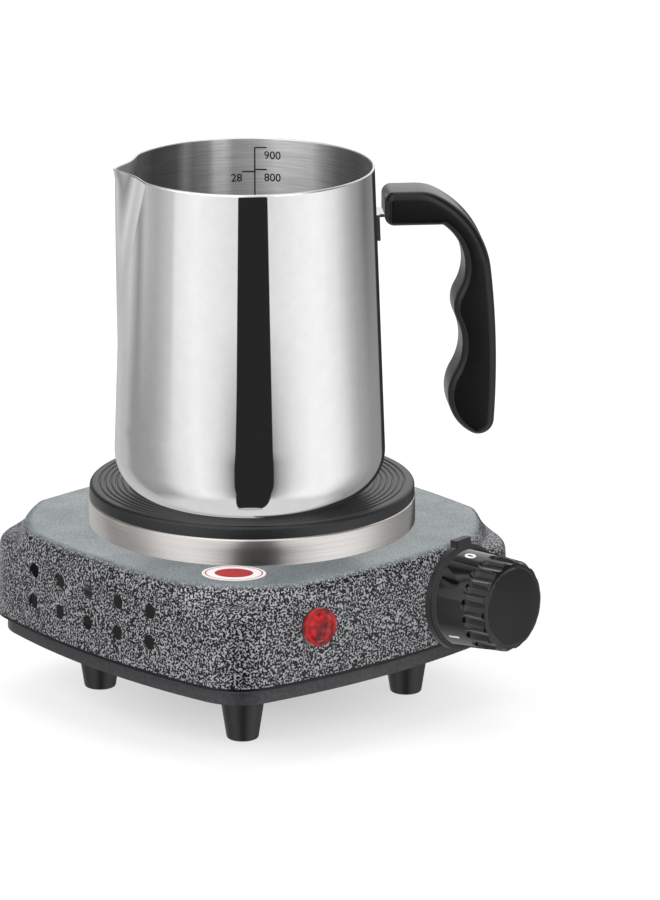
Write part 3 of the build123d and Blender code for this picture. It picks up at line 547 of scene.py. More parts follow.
# Phenolic moulding with a polished skin: deep black, sharp reflections
phenolic = speckled("polished_phenolic", "#08080a", "#0e0e11", 5.0, 0.01, Roughness=0.07)
# The knob's cap: the same moulding, left satin
cap_satin = speckled(
    "satin_phenolic", "#09090a", "#101011", 0.6, 0.01, Roughness=0.27, Specular_IOR_Level=0.3
)
# ABS from an eroded mould: black with a soft broad sheen
bezel_plastic = speckled("satin_abs", "#101011", "#1a1a1b", 0.7, 0.03, Roughness=0.42)
# Phenolic grip, tumbled: satin black
grip_phenolic = speckled(
    "tumbled_phenolic", "#080809", "#0e0e0f", 0.6, 0.01, Roughness=0.25, Specular_IOR_Level=0.4
)
# Zinc plate on steel: pale grey with a blurred shine
zinc = speckled("zinc_plated_steel", "#a9a8a2", "#c9c8c4", 0.9, 0.02, Metallic=1.0, Roughness=0.32)
# Brass bar, turned: warm yellow, softly bright
brass = speckled("turned_brass", "#a3803a", "#c39d52", 0.9, 0.02, Metallic=1.0, Roughness=0.3)
# Steatite, pressed and glazed, darkened to brown-black as painted shade inside the housing: wet looking
steatite = speckled("steatite_dark_as_painted_shade", "#1d1511", "#2c201a", 2.5, 0.02, Roughness=0.25)
# Mica sheet, pressed from flakes: sandy, with small glints
mica = speckled("pressed_mica", "#9c8658", "#b9a377", 1.8, 0.05, Roughness=0.5)
# Steel sheath, annealed in its own heat: brown-grey and dull
element_steel = speckled("annealed_sheath", "#4c4743", "#6a6560", 1.2, 0.03, Metallic=0.9, Roughness=0.45)
# Silicone sleeving, extruded: black, waxy
silicone = speckled("silicone_sleeve", "#191817", "#262423", 0.9, 0.08, Roughness=0.6)
# Drawn stainless, buffed to a mirror: long clean reflections
mirror_steel = turned_steel(
    "polished_stainless", "#e3e3e3", "#e8e8e8", PITCHER_CENTRE, 6.0, 60.0, 0.0002, Roughness=0.03
)
# The same steel inside, brushed: vertical light and dark bands painted in as reflections
inside_steel = brushed_inside("brushed_stainless", Roughness=0.5)
# The rolled rim, trimmed and wiped on a wheel: lighter and softer than the mirror wall
rim_steel = turned_steel(
    "wheeled_stainless", "#e9e9e9", "#f4f4f4", PITCHER_CENTRE, 0.6, 4.0, 0.003, Roughness=0.38
)
# Matt black on the inside of the sheet metal: painted shade, so that the vents and the seam look dark inside
black_shade = speckled("black_painted_shade", "#060606", "#0c0c0c", 0.9, 0.02, Roughness=0.8, Specular_IOR_Level=0.2)
# Stainless strip, spun to shape: fine level lines, warm and satin
ring_steel = turned_steel(
    "spun_stainless", "#cdc9c6", "#dcd8d5", (0, 0, 0), 0.35, 0.5, 0.002, Roughness=0.24
)
# Stainless strip, pressed and tumbled: bright with soft edges
strap_steel = speckled("strap_stainless", "#b9b8b6", "#cfcecc", 0.8, 0.01, Metallic=1.0, Roughness=0.16)
# Electrochemical marking on steel: flat black
ink = speckled("etched_black", "#0b0b0b", "#161616", 1.0, 0.01, Roughness=0.6)
# Pad-printed ink: flat white
numeral_paint = speckled("printed_white", "#e4e4e4", "#f2f2f2", 1.0, 0.01, Roughness=0.5)
# Cast vinyl film, printed: clean white and red under a satin skin
badge_white = speckled("white_vinyl", "#e9e7e6", "#f3f2f1", 1.5, 0.01, Roughness=0.4, Specular_IOR_Level=0.25)
badge_red = speckled("red_vinyl", "#a01c22", "#b82228", 1.5, 0.01, Roughness=0.4, Specular_IOR_Level=0.25)
# Acrylic, injection moulded: dark red, with brighter red patches painted in as the glints of its facets
lens_red_painted_glints = speckled(
    "red_acrylic", "#4c0204", "#c8141a", 3.2, 0.05, Roughness=0.14, IOR=1.49, Specular_IOR_Level=0.35
)

# -------------------- hot plate


def painted_housing():
    """The pressed housing: enamel outside, and black painted shade on the faces that look inwards."""
    shell = copied("housing", "painted_housing")
    heart = Vector((0, 0, HOUSING_LOW * MM))
    # Painted shade: the inward faces take the black
    for face in shell.data.polygons:
        reach = face.center - heart
        face.material_index = int(face.normal.dot(reach) < -0.25 * reach.length)
    return shell


finish(painted_housing(), "base", [enamel, black_shade], ["housing"])


def painted_pan():
    """The pressed pan, with an upstand that nests inside the housing behind the seam, its top all black as
    painted shade.
    """
    pan = copied("base_pan", "painted_pan")
    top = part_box("base_pan")[1].z
    bpy.ops.object.mode_set(mode="EDIT")
    bpy.ops.mesh.select_all(action="DESELECT")
    bpy.ops.object.mode_set(mode="OBJECT")
    for face in pan.data.polygons:
        face.select = face.normal.z > 0.99 and face.center.z > top - LEVEL * MM
    bpy.ops.object.mode_set(mode="EDIT")
    bpy.ops.mesh.inset(thickness=UPSTAND_WALL * MM)
    bpy.ops.object.mode_set(mode="OBJECT")
    for face in pan.data.polygons:
        flat = face.normal.z > 0.99 and face.center.z > top - LEVEL * MM
        face.select = flat and not face.select and face.center.xy.length > UPSTAND_REACH * MM
    bpy.ops.object.mode_set(mode="EDIT")
    bpy.ops.mesh.extrude_region_move(TRANSFORM_OT_translate={"value": (0, 0, UPSTAND_STEP * MM)})
    bpy.ops.transform.resize(value=(UPSTAND_SPREAD, UPSTAND_SPREAD, 1), center_override=(0, 0, 0))
    bpy.ops.mesh.extrude_region_move(TRANSFORM_OT_translate={"value": (0, 0, UPSTAND_RISE * MM)})
    bpy.ops.object.mode_set(mode="OBJECT")
    # Painted shade: the pan's top and its upstand take the black
    for face in pan.data.polygons:
        face.material_index = int(face.center.z > top - LEVEL * MM)
    return smooth(pan)


finish(painted_pan(), "base", [pan_paint, black_shade], ["base_pan"])


def heating_plate():
    """The cast plate: a coated disc with fine concentric grooves."""
    outline = [(0, PLATE_HIGH)]
    for groove in reversed(range(GROOVE_COUNT)):
        middle = GROOVE_OUTER_RADIUS - groove * GROOVE_PITCH
        for step in range(GROOVE_STEPS + 1):
            turn = pi * step / GROOVE_STEPS
            across = middle - GROOVE_HALF_WIDTH * cos(turn)
            outline.append((across, PLATE_HIGH - GROOVE_DEPTH * sin(turn)))
    outline += rounded([
        outline[-1] + (0,),
        (PLATE_RADIUS, PLATE_HIGH, 1.4),
        (PLATE_RADIUS, RING_HIGH, 0.3),
        (SKIRT_RADIUS, RING_HIGH, 0),
        (SKIRT_RADIUS, SKIRT_BOTTOM, 0.5),
        (SKIRT_INSIDE, SKIRT_BOTTOM, 0.5),
        (SKIRT_INSIDE, WEB_UNDER, 0),
        (BOSS_RADIUS, WEB_UNDER, 0),
        (BOSS_RADIUS, PLATE_LOW, 0),
        (0, PLATE_LOW, 0),
    ])[1:]
    return smooth(spun("cast_plate", outline, ROUND_COLUMNS))


finish(heating_plate(), "base", [coated_iron], ["heating_plate"])


def trim_ring():
    """The stainless ring under the plate, with a rolled shoulder and a hem on the deck."""
    inside = RING_RADIUS - RING_WALL
    outline = rounded([
        (RING_RADIUS - RING_HEM, RING_LOW + 0.4, 0),
        (RING_RADIUS - RING_HEM, RING_LOW, 0.2),
        (RING_RADIUS, RING_LOW, 0.3),
        (RING_RADIUS, RING_HIGH, 0.7),
        (RING_FLANGE_RADIUS, RING_HIGH, 0.2),
        (RING_FLANGE_RADIUS, RING_HIGH - RING_WALL, 0.2),
        (inside, RING_HIGH - RING_WALL, 0.2),
        (inside, RING_LOW + RING_WALL, 0.2),
        (RING_RADIUS - RING_HEM, RING_LOW + RING_WALL, 0.2),
        (RING_RADIUS - RING_HEM, RING_LOW + 0.4, 0),
    ], steps=3)
    return smooth(spun("spun_ring", outline, ROUND_COLUMNS))


finish(trim_ring(), "base", [ring_steel], ["trim_ring"])


def foot():
    """A tapered rubber foot with a screw recess."""
    outline = rounded([
        (FOOT_SCREW_RADIUS, FOOT_BORE_DEPTH, 0),
        (FOOT_BORE_RADIUS, FOOT_BORE_DEPTH, 0),
        (FOOT_BORE_RADIUS, 0, 0.3),
        (FOOT_BOTTOM_RADIUS, 0, 1.0),
        (FOOT_TOP_RADIUS, FOOT_HIGH, 0.4),
        (FOOT_SCREW_RADIUS, FOOT_HIGH, 0),
        (FOOT_SCREW_RADIUS, FOOT_BORE_DEPTH, 0),
    ])
    return smooth(spun("rubber_foot", outline, 48))


for fore, depth in (("front", -1), ("rear", 1)):
    for side, across in (("left", -1), ("right", 1)):
        rubber_foot = foot()
        rubber_foot.name = rubber_foot.data.name = f"rubber_foot_{fore}_{side}"
        spot = Vector((across, depth, 0)) * FOOT_SPACING / 2 * MM
        placed(rubber_foot, Matrix.Translation(spot))
        finish(rubber_foot, "base", [rubber], [f"foot_{fore}_{side}"])


def badge():
    """The blank oval sticker: white, with a thin red line and a red middle."""
    bpy.ops.object.select_all(action="DESELECT")
    bpy.ops.mesh.primitive_cylinder_add(vertices=96, radius=0.5, depth=BADGE_THICKNESS * MM)
    piece = bpy.context.object
    piece.scale = (BADGE_WIDTH * MM, BADGE_LENGTH * MM, 1)
    sticker = named("oval_badge")
    bpy.ops.object.mode_set(mode="EDIT")
    bpy.ops.mesh.select_all(action="DESELECT")
    bpy.ops.object.mode_set(mode="OBJECT")
    for face in sticker.data.polygons:
        face.select = face.normal.z > 0.9
    bpy.ops.object.mode_set(mode="EDIT")
    for share in BADGE_RINGS:
        bpy.ops.mesh.extrude_region_move()
        bpy.ops.transform.resize(value=(share, share, 1))
    bpy.ops.object.mode_set(mode="OBJECT")
    return sticker


def paint_badge(sticker):
    """Put the red on the thin line near the edge and on the middle."""
    for face in sticker.data.polygons:
        reach = 2 * hypot(face.center.x / BADGE_WIDTH, face.center.y / BADGE_LENGTH) / MM
        on_line = BADGE_LINE[0] < reach < BADGE_LINE[1]
        face.material_index = int(face.normal.z > 0.9 and (reach < BADGE_MIDDLE or on_line))


sticker = badge()
paint_badge(sticker)
badge_place = Matrix.Rotation(radians(BADGE_BEARING), 4, "Z") @ Matrix.Translation(
    Vector((BADGE_REACH, 0, HOUSING_HIGH + BADGE_THICKNESS / 2)) * MM
)
placed(sticker, badge_place)
finish(sticker, "base", [badge_white, badge_red], ["deck_badge"])

# -------------------- knob and lamp

knob_joint = next(joint for joint in frame["joints"] if joint["name"] == "knob_turn")
knob_out = -Vector(knob_joint["axis"]).normalized()
knob_right = Vector((-knob_out.y, knob_out.x, 0)).normalized()
knob_place = Matrix((knob_right, knob_out.cross(knob_right), knob_out)).transposed().to_4x4()
knob_place.translation = Vector(knob_joint["pos_m"])


def dome_height(across):
    """Height of the knob's domed face at a distance from its middle."""
    return KNOB_FRONT - KNOB_DOME * (across / KNOB_FRONT_RADIUS) ** 2


def flute_cutter():
    """A round-ended bar for each flute, all in one mesh."""
    turns = [pi / 2 * step / 6 for step in range(7)]
    outline = [(FLUTE_RADIUS * sin(turn), FLUTE_START + FLUTE_RADIUS * (1 - cos(turn))) for turn in turns]
    outline += [(FLUTE_RADIUS, KNOB_FRONT + FLUTE_PAST), (0, KNOB_FRONT + FLUTE_PAST)]
    bars = []
    for flute in range(FLUTE_COUNT):
        bar = spun(f"flute_bar_{flute}", outline, 40)
        turn = Matrix.Rotation(2 * pi * (flute + 0.5) / FLUTE_COUNT, 4, "Z")
        bars.append(placed(bar, turn @ Matrix.Translation((FLUTE_DISTANCE * MM, 0, 0))))
    only(bars[0])
    for bar in bars:
        bar.select_set(True)
    bpy.ops.object.join()
    return bars[0]


def knob():
    """The moulded knob: a smooth drum, scooped flutes and a domed cap let into its face."""
    taper = (KNOB_RADIUS - KNOB_FRONT_RADIUS) / (dome_height(KNOB_FRONT_RADIUS) - KNOB_BACK)
    rim = dome_height(KNOB_FRONT_RADIUS)
    reaches = [CAP_RADIUS * step / CAP_STEPS for step in range(CAP_STEPS + 1)]
    outline = [(reach, dome_height(reach)) for reach in reaches]
    outline += rounded([
        (CAP_RADIUS, dome_height(CAP_RADIUS) - CAP_SEAM, 0),
        (CAP_RADIUS + CAP_SEAM, dome_height(CAP_RADIUS) - CAP_SEAM, 0),
        (CAP_RADIUS + CAP_SEAM, dome_height(CAP_RADIUS + CAP_SEAM), 0.1),
        (KNOB_FRONT_RADIUS, rim, 2.2),
        (KNOB_FRONT_RADIUS + taper * (rim - FLUTE_START), FLUTE_START, 0),
    ], steps=6)
    outline += rounded([
        (KNOB_FRONT_RADIUS + taper * (rim - FLUTE_START + 1), FLUTE_START - 1, 0),
        (KNOB_RADIUS, KNOB_BACK, 0.5),
        (KNOB_RADIUS - KNOB_WALL, KNOB_BACK, 0.5),
        (KNOB_FRONT_RADIUS - KNOB_WALL, rim - KNOB_FACE, 0),
        (HUB_RADIUS, rim - KNOB_FACE, 0),
        (HUB_RADIUS, HUB_BACK, 0.3),
        (SPINDLE_HOLE, HUB_BACK, 0),
        (SPINDLE_HOLE, SPINDLE_HOLE_END, 0),
        (0, SPINDLE_HOLE_END, 0),
    ])
    piece = spun("fluted_knob", outline, KNOB_COLUMNS)
    cutter = flute_cutter()
    only(piece)
    flutes = piece.modifiers.new("flutes", "BOOLEAN")
    flutes.operation = "DIFFERENCE"
    flutes.object = cutter
    bpy.ops.object.modifier_apply(modifier=flutes.name)
    bpy.data.objects.remove(cutter)
    for face in piece.data.polygons:
        reach = hypot(face.center.x, face.center.y) / MM
        on_cap = reach < CAP_RADIUS and face.center.z > (dome_height(reach) - CAP_SKIN) * MM
        face.material_index = int(on_cap and face.normal.z > 0.5)
    return smooth(piece, 28)


turned_knob = placed(knob(), knob_place)
finish(turned_knob, "knob", [phenolic, cap_satin], ["knob"])


def wrapped(name, text, size, stroke, bend):
    """Numerals as a thin raised print, each point carried by a bend from flat to its surface."""
    bpy.ops.object.select_all(action="DESELECT")
    bpy.ops.object.text_add()
    lettering = bpy.context.object
    lettering.data.body = text
    lettering.data.size = size * MM
    lettering.data.extrude = INK * MM / 2
    lettering.data.offset = size * MM * stroke
    lettering.data.align_x = "CENTER"
    lettering.data.align_y = "CENTER"
    lettering.data.resolution_u = 6
    bpy.ops.object.convert(target="MESH")
    piece = named(name)
    bpy.ops.object.mode_set(mode="EDIT")
    bpy.ops.mesh.select_all(action="SELECT")
    bpy.ops.mesh.remove_doubles(threshold=0.001 * MM)
    bpy.ops.mesh.normals_make_consistent(inside=False)
    bpy.ops.object.mode_set(mode="OBJECT")
    for vertex in piece.data.vertices:
        vertex.co = bend(vertex.co)
    return piece


def on_drum(point, bearing):
    """A flat print's point on the knob's drum, with its middle at a bearing from the top."""
    distance = NUMERAL_DISTANCE * MM - point.y
    radius = KNOB_RADIUS * MM - (distance - KNOB_BACK * MM) * NUMERAL_TAPER
    turn = radians(90 + bearing) - point.x / radius
    reach = radius + point.z + INK * MM / 2
    return Vector((reach * cos(turn), reach * sin(turn), distance))


for number, bearing in enumerate(NUMERAL_ANGLES):
    numeral = wrapped(
        f"knob_numeral_{number}", str(number), NUMERAL_SIZE, NUMERAL_STROKE,
        lambda point, bearing=bearing: on_drum(point, bearing),
    )
    placed(numeral, knob_place)
    finish(numeral, "knob", [numeral_paint])

finish(copied("knob_bezel", "pointer_bezel"), "base", [bezel_plastic], ["knob_bezel"])


def lens():
    """The lamp's lens: a collar and a low dome with pressed rings."""
    outline = rounded([
        (0, LENS_BACK + LENS_SKIN, 0),
        (LENS_RADIUS - LENS_WALL, LENS_BACK + LENS_SKIN, 0),
        (LENS_RADIUS - LENS_WALL, LENS_BACK, 0),
        (LENS_RADIUS, LENS_BACK, 0.2),
        (LENS_RADIUS, LENS_SHOULDER, 0.35),
        (LENS_RADIUS - LENS_RIM, LENS_SHOULDER, 0.1),
    ])
    for ring in range(LENS_RINGS + 1):
        share = 1 - ring / LENS_RINGS
        dome = LENS_SHOULDER + (LENS_FACE - LENS_SHOULDER) * cos(share * pi / 2) ** 0.8
        outline.append((LENS_RING_RADIUS * share, dome))
        if ring < LENS_RINGS:
            outline.append((LENS_RING_RADIUS * (share - 0.4 / LENS_RINGS), dome - LENS_RING_DEPTH))
    return smooth(spun("ribbed_lens", outline, 64), 50)


lamp_lens = placed(lens(), wall_place(LAMP_ALONG, LAMP_HEIGHT))
finish(lamp_lens, "base", [lens_red_painted_glints], ["lamp_lens"])

# -------------------- pitcher

pitcher_place = Matrix.Translation(Vector(PITCHER_CENTRE) * MM) @ Matrix.Rotation(
    radians(PITCHER_BEARING), 4, "Z"
)


def wall_radius(height):
    """Outer radius of the pitcher's wall at a height over its base."""
    return PITCHER_BELLY + (PITCHER_RIM - PITCHER_BELLY) * height / PITCHER_TALL


def spout_point(point):
    """Where a point of the plain round wall goes when the beak is drawn out of it."""
    across, along, up = (c / MM for c in point)
    reach = hypot(across, along)
    bearing = degrees(atan2(along, -across))
    low = PITCHER_TALL - SPOUT_DROP
    share = min(max((up - low) / SPOUT_DROP, 0), 1)
    fade = min(max((low - up) / SPOUT_FADE, 0), 1)
    widening = SPOUT_HALF_ANGLE - SPOUT_NARROW_ANGLE
    half = SPOUT_NARROW_ANGLE + widening * (share + fade * fade * (3 - 2 * fade))
    side = 1 if bearing >= 0 else -1
    angle = abs(bearing)
    if angle <= SPOUT_HALF_ANGLE:
        angle *= half / SPOUT_HALF_ANGLE
    elif angle < SPOUT_SETTLE_ANGLE:
        angle = half + (angle - SPOUT_HALF_ANGLE) * (SPOUT_SETTLE_ANGLE - half) / (
            SPOUT_SETTLE_ANGLE - SPOUT_HALF_ANGLE
        )
    if share > 0 and angle < half:
        inset = min(max(wall_radius(up) - reach, 0), PITCHER_WALL)
        round_reach = wall_radius(up) - inset
        tip = wall_radius(low) + (SPOUT_REACH - wall_radius(low)) * share - inset
        corner_along = round_reach * cos(radians(half))
        corner_side = round_reach * sin(radians(half))
        soft = hypot(sin(radians(angle)), SPOUT_TIP_SOFT * share)
        reach = corner_side * tip / (corner_side * cos(radians(angle)) + (tip - corner_along) * soft)
        lip = max(1 - (PITCHER_TALL - up) / SPOUT_FLARE_DROP, 0)
        reach -= SPOUT_HOLLOW * share ** 2 * sin(pi * angle / half) ** 2
        reach += SPOUT_FLARE * lip ** 2 * max(1 - angle / SPOUT_FLARE_ANGLE, 0) ** 2
    turn = radians(angle * side)
    return Vector((-reach * cos(turn), reach * sin(turn), up)) * MM


def pitcher():
    """The drawn steel pitcher: one wall from the base up over the rim and down inside."""
    outer = rounded([
        (0, 0, 0),
        (PITCHER_BELLY, 0, PITCHER_BASE_ROUND),
        (wall_radius(PITCHER_STRAIGHT), PITCHER_STRAIGHT, 0),
    ], steps=14)
    rim_low = PITCHER_TALL - RIM_DEPTH
    climb = rim_low - PITCHER_STRAIGHT
    rows = [PITCHER_STRAIGHT + climb * row / PITCHER_ROWS for row in range(1, PITCHER_ROWS + 1)]
    outer += [(wall_radius(row), row) for row in rows]
    rim = rounded([
        (wall_radius(rim_low), rim_low, 0),
        (wall_radius(PITCHER_TALL), PITCHER_TALL, RIM_ROUND),
        (wall_radius(PITCHER_TALL) - PITCHER_WALL, PITCHER_TALL, RIM_ROUND),
        (wall_radius(rim_low) - PITCHER_WALL, rim_low, 0),
    ], steps=3)
    inner = [(wall_radius(row) - PITCHER_WALL, row) for row in reversed(rows[:-1])]
    inner += rounded([
        (wall_radius(PITCHER_STRAIGHT) - PITCHER_WALL, PITCHER_STRAIGHT, 0),
        (PITCHER_BELLY - PITCHER_WALL, PITCHER_WALL, PITCHER_BASE_ROUND - PITCHER_WALL),
        (0, PITCHER_WALL, 0),
    ], steps=12)
    piece = spun("polished_pitcher", outer[:-1] + rim + inner, PITCHER_COLUMNS)
    corner = radians(SPOUT_HALF_ANGLE)
    column = 2 * pi / PITCHER_COLUMNS
    spout_low = (PITCHER_TALL - SPOUT_DROP) * MM
    creases = []
    for edge in piece.data.edges:
        ends = [piece.data.vertices[index].co for index in edge.vertices]
        on_corner = [abs(abs(atan2(end.y, -end.x)) - corner) < column / 4 for end in ends]
        if all(on_corner) and ends[0].z > spout_low:
            creases.append(edge.index)
    for face in piece.data.polygons:
        outwards = face.normal.x * face.center.x + face.normal.y * face.center.y
        on_floor = face.normal.z > 0.3 and face.center.z < PITCHER_BASE_ROUND * MM
        face.material_index = int(outwards < -0.3 * face.center.xy.length or on_floor)
        if face.center.z > (PITCHER_TALL - RIM_BRIGHT) * MM:
            face.material_index = 2
    for vertex in piece.data.vertices:
        vertex.co = spout_point(vertex.co)
    for index in creases:
        piece.data.edges[index].use_edge_sharp = True
    only(piece)
    bpy.ops.object.shade_smooth_by_angle(angle=radians(35), keep_sharp_edges=True)
    return piece


polished_pitcher = placed(pitcher(), pitcher_place)
steels = [mirror_steel, inside_steel, rim_steel]
finish(polished_pitcher, "pitcher", steels, ["pitcher_body"])


def inner_wall(point, side_start, depth):
    """A flat print's point on the inside of the pitcher's wall, by its place on the scale."""
    up = PITCHER_TALL - depth + point.y / MM
    reach = wall_radius(up) - PITCHER_WALL - INK / 2 + point.z / MM
    turn = radians(SCALE_BEARING) - (point.x / MM + side_start) / reach
    return Vector((reach * cos(turn), reach * sin(turn), up)) * MM


def scale_bar(name, width, height, side_start, depth):
    """A printed line of the pitcher's inside scale."""
    bpy.ops.object.select_all(action="DESELECT")
    bpy.ops.mesh.primitive_cube_add(size=1)
    bpy.context.object.scale = (width * MM, height * MM, INK * MM)
    piece = named(name)
    bpy.ops.object.mode_set(mode="EDIT")
    bpy.ops.mesh.subdivide(number_cuts=5)
    bpy.ops.object.mode_set(mode="OBJECT")
    for vertex in piece.data.vertices:
        vertex.co = inner_wall(vertex.co, side_start, depth)
    return piece


marks = [scale_bar("scale_line", SCALE_LINE, SCALE_LENGTH, 0, SCALE_TOP + SCALE_LENGTH / 2)]
for number, (depth, length) in enumerate(SCALE_TICKS):
    marks.append(scale_bar(f"scale_tick_{number}", abs(length), SCALE_LINE, length / 2, depth))
half_wide, half_tall = (SCALE_NUMERAL_SIZE * share for share in SCALE_NUMERAL_HALF)
for text, depth, side_start in SCALE_NUMERALS:
    middle = side_start + (half_wide * len(text) if side_start > 0 else 2)
    marks.append(wrapped(
        f"scale_numeral_{text}", text, SCALE_NUMERAL_SIZE, SCALE_STROKE,
        lambda point, middle=middle, low=depth + half_tall: inner_wall(point, middle, low),
    ))
for mark in marks:
    placed(mark, pitcher_place)
    finish(mark, "pitcher", [ink])

steel_strap = copied("handle_bracket", "steel_strap")
finish(steel_strap, "pitcher", [strap_steel], ["handle_bracket"])
finish(copied("handle", "moulded_grip"), "pitcher", [grip_phenolic], ["handle"])

# -------------------- finishes of the other pieces

SLOT_FINISHES = {
    "pan_paint": pan_paint,
    "foot_rubber": rubber,
    "zinc_steel": zinc,
    "ring_steel": ring_steel,
    "plate_iron": coated_iron,
    "element_steel": element_steel,
    "mica": mica,
    "ceramic": steatite,
    "knob_phenolic": phenolic,
    "bezel_plastic": bezel_plastic,
    "lens_acrylic": lens_red_painted_glints,
    "lamp_plastic": bezel_plastic,
    "bulb_glass": steatite,
    "badge_vinyl": badge_white,
    "lead_silicone": silicone,
    "earth_brass": brass,
    "pitcher_steel": mirror_steel,
    "bracket_steel": strap_steel,
    "handle_bakelite": grip_phenolic,
    "hammertone_enamel": enamel,
}
for subpart in frame["record"]["subparts"]:
    mesh = frame["nodes"][subpart["node"]].data
    mesh.materials.clear()
    lug = subpart["node"].startswith("pan_lug")  # black as painted shade in the seam, where it crosses the gap
    mesh.materials.append(black_shade if lug else SLOT_FINISHES[subpart["material_slot"]])

# -------------------- stage and light

FLOOR_SIZE = 12.0
# Metres from the middle of the floor, and how bright its own light is there: dimmer in the middle as a
# painted shadow under the hot plate, brighter far out so the far floor stays white
FLOOR_GLOW_AND_SHADOW = ((0.0, 0.45), (0.08, 0.74), (0.6, 0.74), (2.5, 1.0))
TENT_RADIUS = 1.0
TENT_HEIGHT = 20.0
# What the polished surfaces see round the object: bearing to the right of the camera's, in degrees, and
# brightness, a little below the floor's level, level with it, and from well above it
TENT_LOW = (
    (-180, 0.50), (-150, 0.62), (-128, 0.55), (-117, 0.36), (-108, 0.36), (-92, 0.40), (-85, 0.45),
    (-78, 0.54), (-72, 0.68), (-66, 0.83), (-60, 0.95), (-42, 1.10), (-32, 0.97), (-26, 0.84), (-21, 0.67),
    (-16, 0.47), (-12, 0.26), (20, 0.20), (25, 0.46), (31, 0.66), (36, 0.83), (42, 0.97), (53, 1.14),
    (70, 1.12), (77, 1.06), (84, 0.95), (91, 0.80), (98, 0.62), (107, 0.47), (126, 0.34), (149, 0.30),
    (153, 0.03),
)
TENT_LEVEL = (
    (-180, 0.30), (-165, 0.34), (-150, 0.46), (-127, 0.80), (-120, 0.62), (-112, 0.34), (-103, 0.62),
    (-95, 0.52), (-87, 0.50), (-80, 0.58), (-70, 0.70), (-66, 0.95), (-60, 1.02), (-47, 1.12), (-24, 1.00),
    (-13, 0.92), (20, 0.90), (31, 0.98), (43, 1.07), (58, 1.14), (67, 1.11), (81, 0.93), (88, 0.76),
    (96, 0.58), (105, 0.43), (114, 0.34), (120, 0.26), (126, 0.19), (138, 0.24), (149, 0.28), (152, 0.03),
    (180, 0.03),
)
TENT_HIGH = (
    (-180, 1.20), (-172, 1.20), (-166, 0.40), (-156, 0.35), (-148, 0.12), (-112, 0.15), (-92, 0.50),
    (-66, 1.50), (-8, 1.60), (0, 0.90), (10, 0.60), (18, 0.90), (26, 1.60), (44, 1.60), (56, 0.50),
    (66, 0.20), (96, 0.20), (110, 0.60), (140, 0.80), (172, 1.20), (180, 1.20),
)
# Heights, in metres, between which the tent's brightness changes: one even grey, the low bands, the level
# bands, and the high bands, where the card ends too
TENT_FOOT = (-1.5, -0.9)
TENT_CHANGE = (-0.11, -0.01)
TENT_TOP = (0.12, 0.18)
FOOT_GREY = (0.40, 0.40, 0.40, 1)
CARD_BEARING = 4.1  # the black card that the camera shoots past, in the tent's degrees
CARD_BLACK = (0.012, 0.012, 0.012, 1)
CARD_EDGE = 0.2
CARD_HALF_WIDTH = 13.7
CARD_SPREAD = -19.0  # degrees wider for each metre up
CARD_STRAIGHT = -0.12  # from this height down the card keeps its width
CARD_FOOT = -0.7  # and from this one down it spreads again
CARD_FOOT_SPREAD = -5.2


def stage_object(name, made):
    """Name the newest object, put it on the stage and give it a finish."""
    thing = bpy.context.object
    thing.name = name
    thing.data.materials.append(made)
    return thing


def paper_floor():
    """White paper sweep: it reads white and holds a soft shadow, with more shadow painted in under the hot
    plate.
    """
    made, tree, shader = material("white_paper", Roughness=0.9, Specular_IOR_Level=0.0)
    seen = node(tree, "LightPath").outputs["Is Camera Ray"]
    paper = node(tree, "Mix", {0: seen, 6: linear("#f4f4f4"), 7: linear("#8c8c8c")}, data_type="RGBA")
    tree.links.new(paper.outputs[2], shader.inputs["Base Color"])
    reach = node(tree, "VectorMath", {0: node(tree, "TexCoord").outputs["Object"]}, operation="LENGTH")
    share = node(tree, "MapRange", {"Value": reach.outputs["Value"], "From Max": FLOOR_SIZE / 2})
    glow_and_shadow = node(tree, "ValToRGB", {"Fac": share.outputs["Result"]}, ramp=[
        (distance / FLOOR_SIZE * 2, brightness) for distance, brightness in FLOOR_GLOW_AND_SHADOW
    ])
    glow = node(tree, "Math", {0: seen, 1: glow_and_shadow.outputs["Color"]}, operation="MULTIPLY")
    shader.inputs["Emission Color"].default_value = (1, 1, 1, 1)
    tree.links.new(glow.outputs["Value"], shader.inputs["Emission Strength"])
    return made


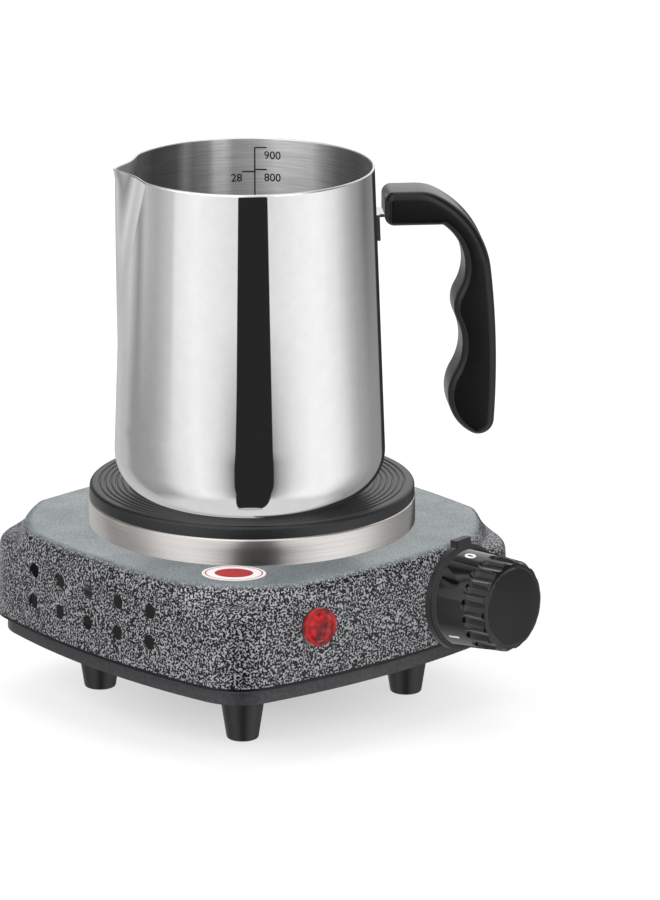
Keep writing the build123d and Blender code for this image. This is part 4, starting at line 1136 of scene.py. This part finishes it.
def tent_cloth():
    """White cloth lit by softboxes, with a black card in it: bright and dark bands to mirror."""
    made = bpy.data.materials.new("tent_cloth")
    made.use_nodes = True
    tree = made.node_tree
    tree.nodes.clear()
    parts = node(tree, "SeparateXYZ", {"Vector": node(tree, "TexCoord").outputs["Object"]})
    up = parts.outputs["Z"]
    turn = node(tree, "Math", {0: parts.outputs["Y"], 1: parts.outputs["X"]}, operation="ARCTAN2")
    share = node(tree, "MapRange", {"Value": turn.outputs["Value"], "From Min": -pi, "From Max": pi})
    low, level, high = (
        node(tree, "ValToRGB", {"Fac": share.outputs["Result"]}, ramp=[
            ((bearing + 180) / 360, brightness / 2) for bearing, brightness in bands
        ]).outputs["Color"]
        for bands in (TENT_LOW, TENT_LEVEL, TENT_HIGH)
    )
    is_level, off_foot, is_high = (
        node(tree, "MapRange", {"Value": up, "From Min": start, "From Max": end}).outputs["Result"]
        for start, end in (TENT_CHANGE, TENT_FOOT, TENT_TOP)
    )
    bearing = node(tree, "Math", {0: turn.outputs["Value"], 1: 180 / pi}, operation="MULTIPLY")
    aside = node(tree, "Math", {0: bearing.outputs["Value"], 1: CARD_BEARING}, operation="SUBTRACT")
    off_middle = node(tree, "Math", {0: aside.outputs["Value"]}, operation="ABSOLUTE")
    card_up = node(tree, "Math", {0: up, 1: CARD_STRAIGHT}, operation="MAXIMUM")
    half_width = node(tree, "Math", {
        0: card_up.outputs["Value"], 1: CARD_SPREAD, 2: CARD_HALF_WIDTH
    }, operation="MULTIPLY_ADD")
    below = node(tree, "Math", {0: up, 1: CARD_FOOT}, operation="SUBTRACT")
    foot_depth = node(tree, "Math", {0: below.outputs["Value"], 1: 0.0}, operation="MINIMUM")
    foot_width = node(tree, "Math", {
        0: foot_depth.outputs["Value"], 1: CARD_FOOT_SPREAD, 2: half_width.outputs["Value"]
    }, operation="MULTIPLY_ADD")
    past_edge = node(tree, "Math", {
        0: off_middle.outputs["Value"], 1: foot_width.outputs["Value"]
    }, operation="SUBTRACT")
    off_card = node(tree, "MapRange", {
        "Value": past_edge.outputs["Value"], "From Min": -CARD_EDGE, "From Max": CARD_EDGE
    })
    bands = node(tree, "Mix", {0: is_level, 6: low, 7: level}, data_type="RGBA")
    even = node(tree, "Mix", {0: off_foot, 6: FOOT_GREY, 7: bands.outputs[2]}, data_type="RGBA")
    carded = node(tree, "Mix", {
        0: off_card.outputs["Result"], 6: CARD_BLACK, 7: even.outputs[2]
    }, data_type="RGBA")
    whole = node(tree, "Mix", {0: is_high, 6: carded.outputs[2], 7: high}, data_type="RGBA")
    glow = node(tree, "Emission", {"Color": whole.outputs[2], "Strength": 2.0})
    node(tree, "OutputMaterial", {"Surface": glow.outputs["Emission"]})
    made.cycles.emission_sampling = "NONE"
    return made


bpy.ops.object.select_all(action="DESELECT")
bpy.ops.mesh.primitive_plane_add(size=FLOOR_SIZE)
stage_object("paper_floor", paper_floor())

bpy.ops.mesh.primitive_cylinder_add(
    vertices=96, radius=TENT_RADIUS, depth=TENT_HEIGHT, end_fill_type="NOTHING",
    rotation=(0, 0, radians(-90) + CAMERA_AZIMUTH),
)
tent = stage_object("light_tent", tent_cloth())
tent.visible_camera = False
tent.visible_diffuse = False
tent.visible_shadow = False
tent.visible_transmission = False
# Polished steel shows the tent and itself alone: glossy rays pass every other piece
for piece in bpy.data.objects:
    piece.visible_glossy = piece in (polished_pitcher, tent)

world = bpy.data.worlds.new("studio")
bpy.context.scene.world = world
world.use_nodes = True
sky = world.node_tree
ray = node(sky, "LightPath")
level = node(sky, "MapRange", {"Value": ray.outputs["Is Camera Ray"], "To Min": 0.55, "To Max": 1.0})
sky.links.new(level.outputs["Result"], sky.nodes["Background"].inputs["Strength"])
sky.nodes["Background"].inputs["Color"].default_value = (1, 1, 1, 1)


def softbox(name, azimuth, elevation, distance, size, power):
    """A square soft light that faces the object, seen by matt surfaces only."""
    bearing = CAMERA_AZIMUTH + radians(azimuth)
    climb = radians(elevation)
    out = Vector((sin(bearing) * cos(climb), -cos(bearing) * cos(climb), sin(climb)))
    bpy.ops.object.light_add(type="AREA", location=out * distance)
    lamp = bpy.context.object
    lamp.name = name
    lamp.rotation_euler = out.to_track_quat("Z", "Y").to_euler()
    lamp.data.size = size
    lamp.data.energy = power
    lamp.visible_glossy = False


softbox("left_softbox", -55, 40, 2.0, 1.2, 22)
softbox("right_softbox", 55, 35, 2.0, 1.2, 16)
softbox("top_softbox", 180, 75, 1.8, 1.4, 16)
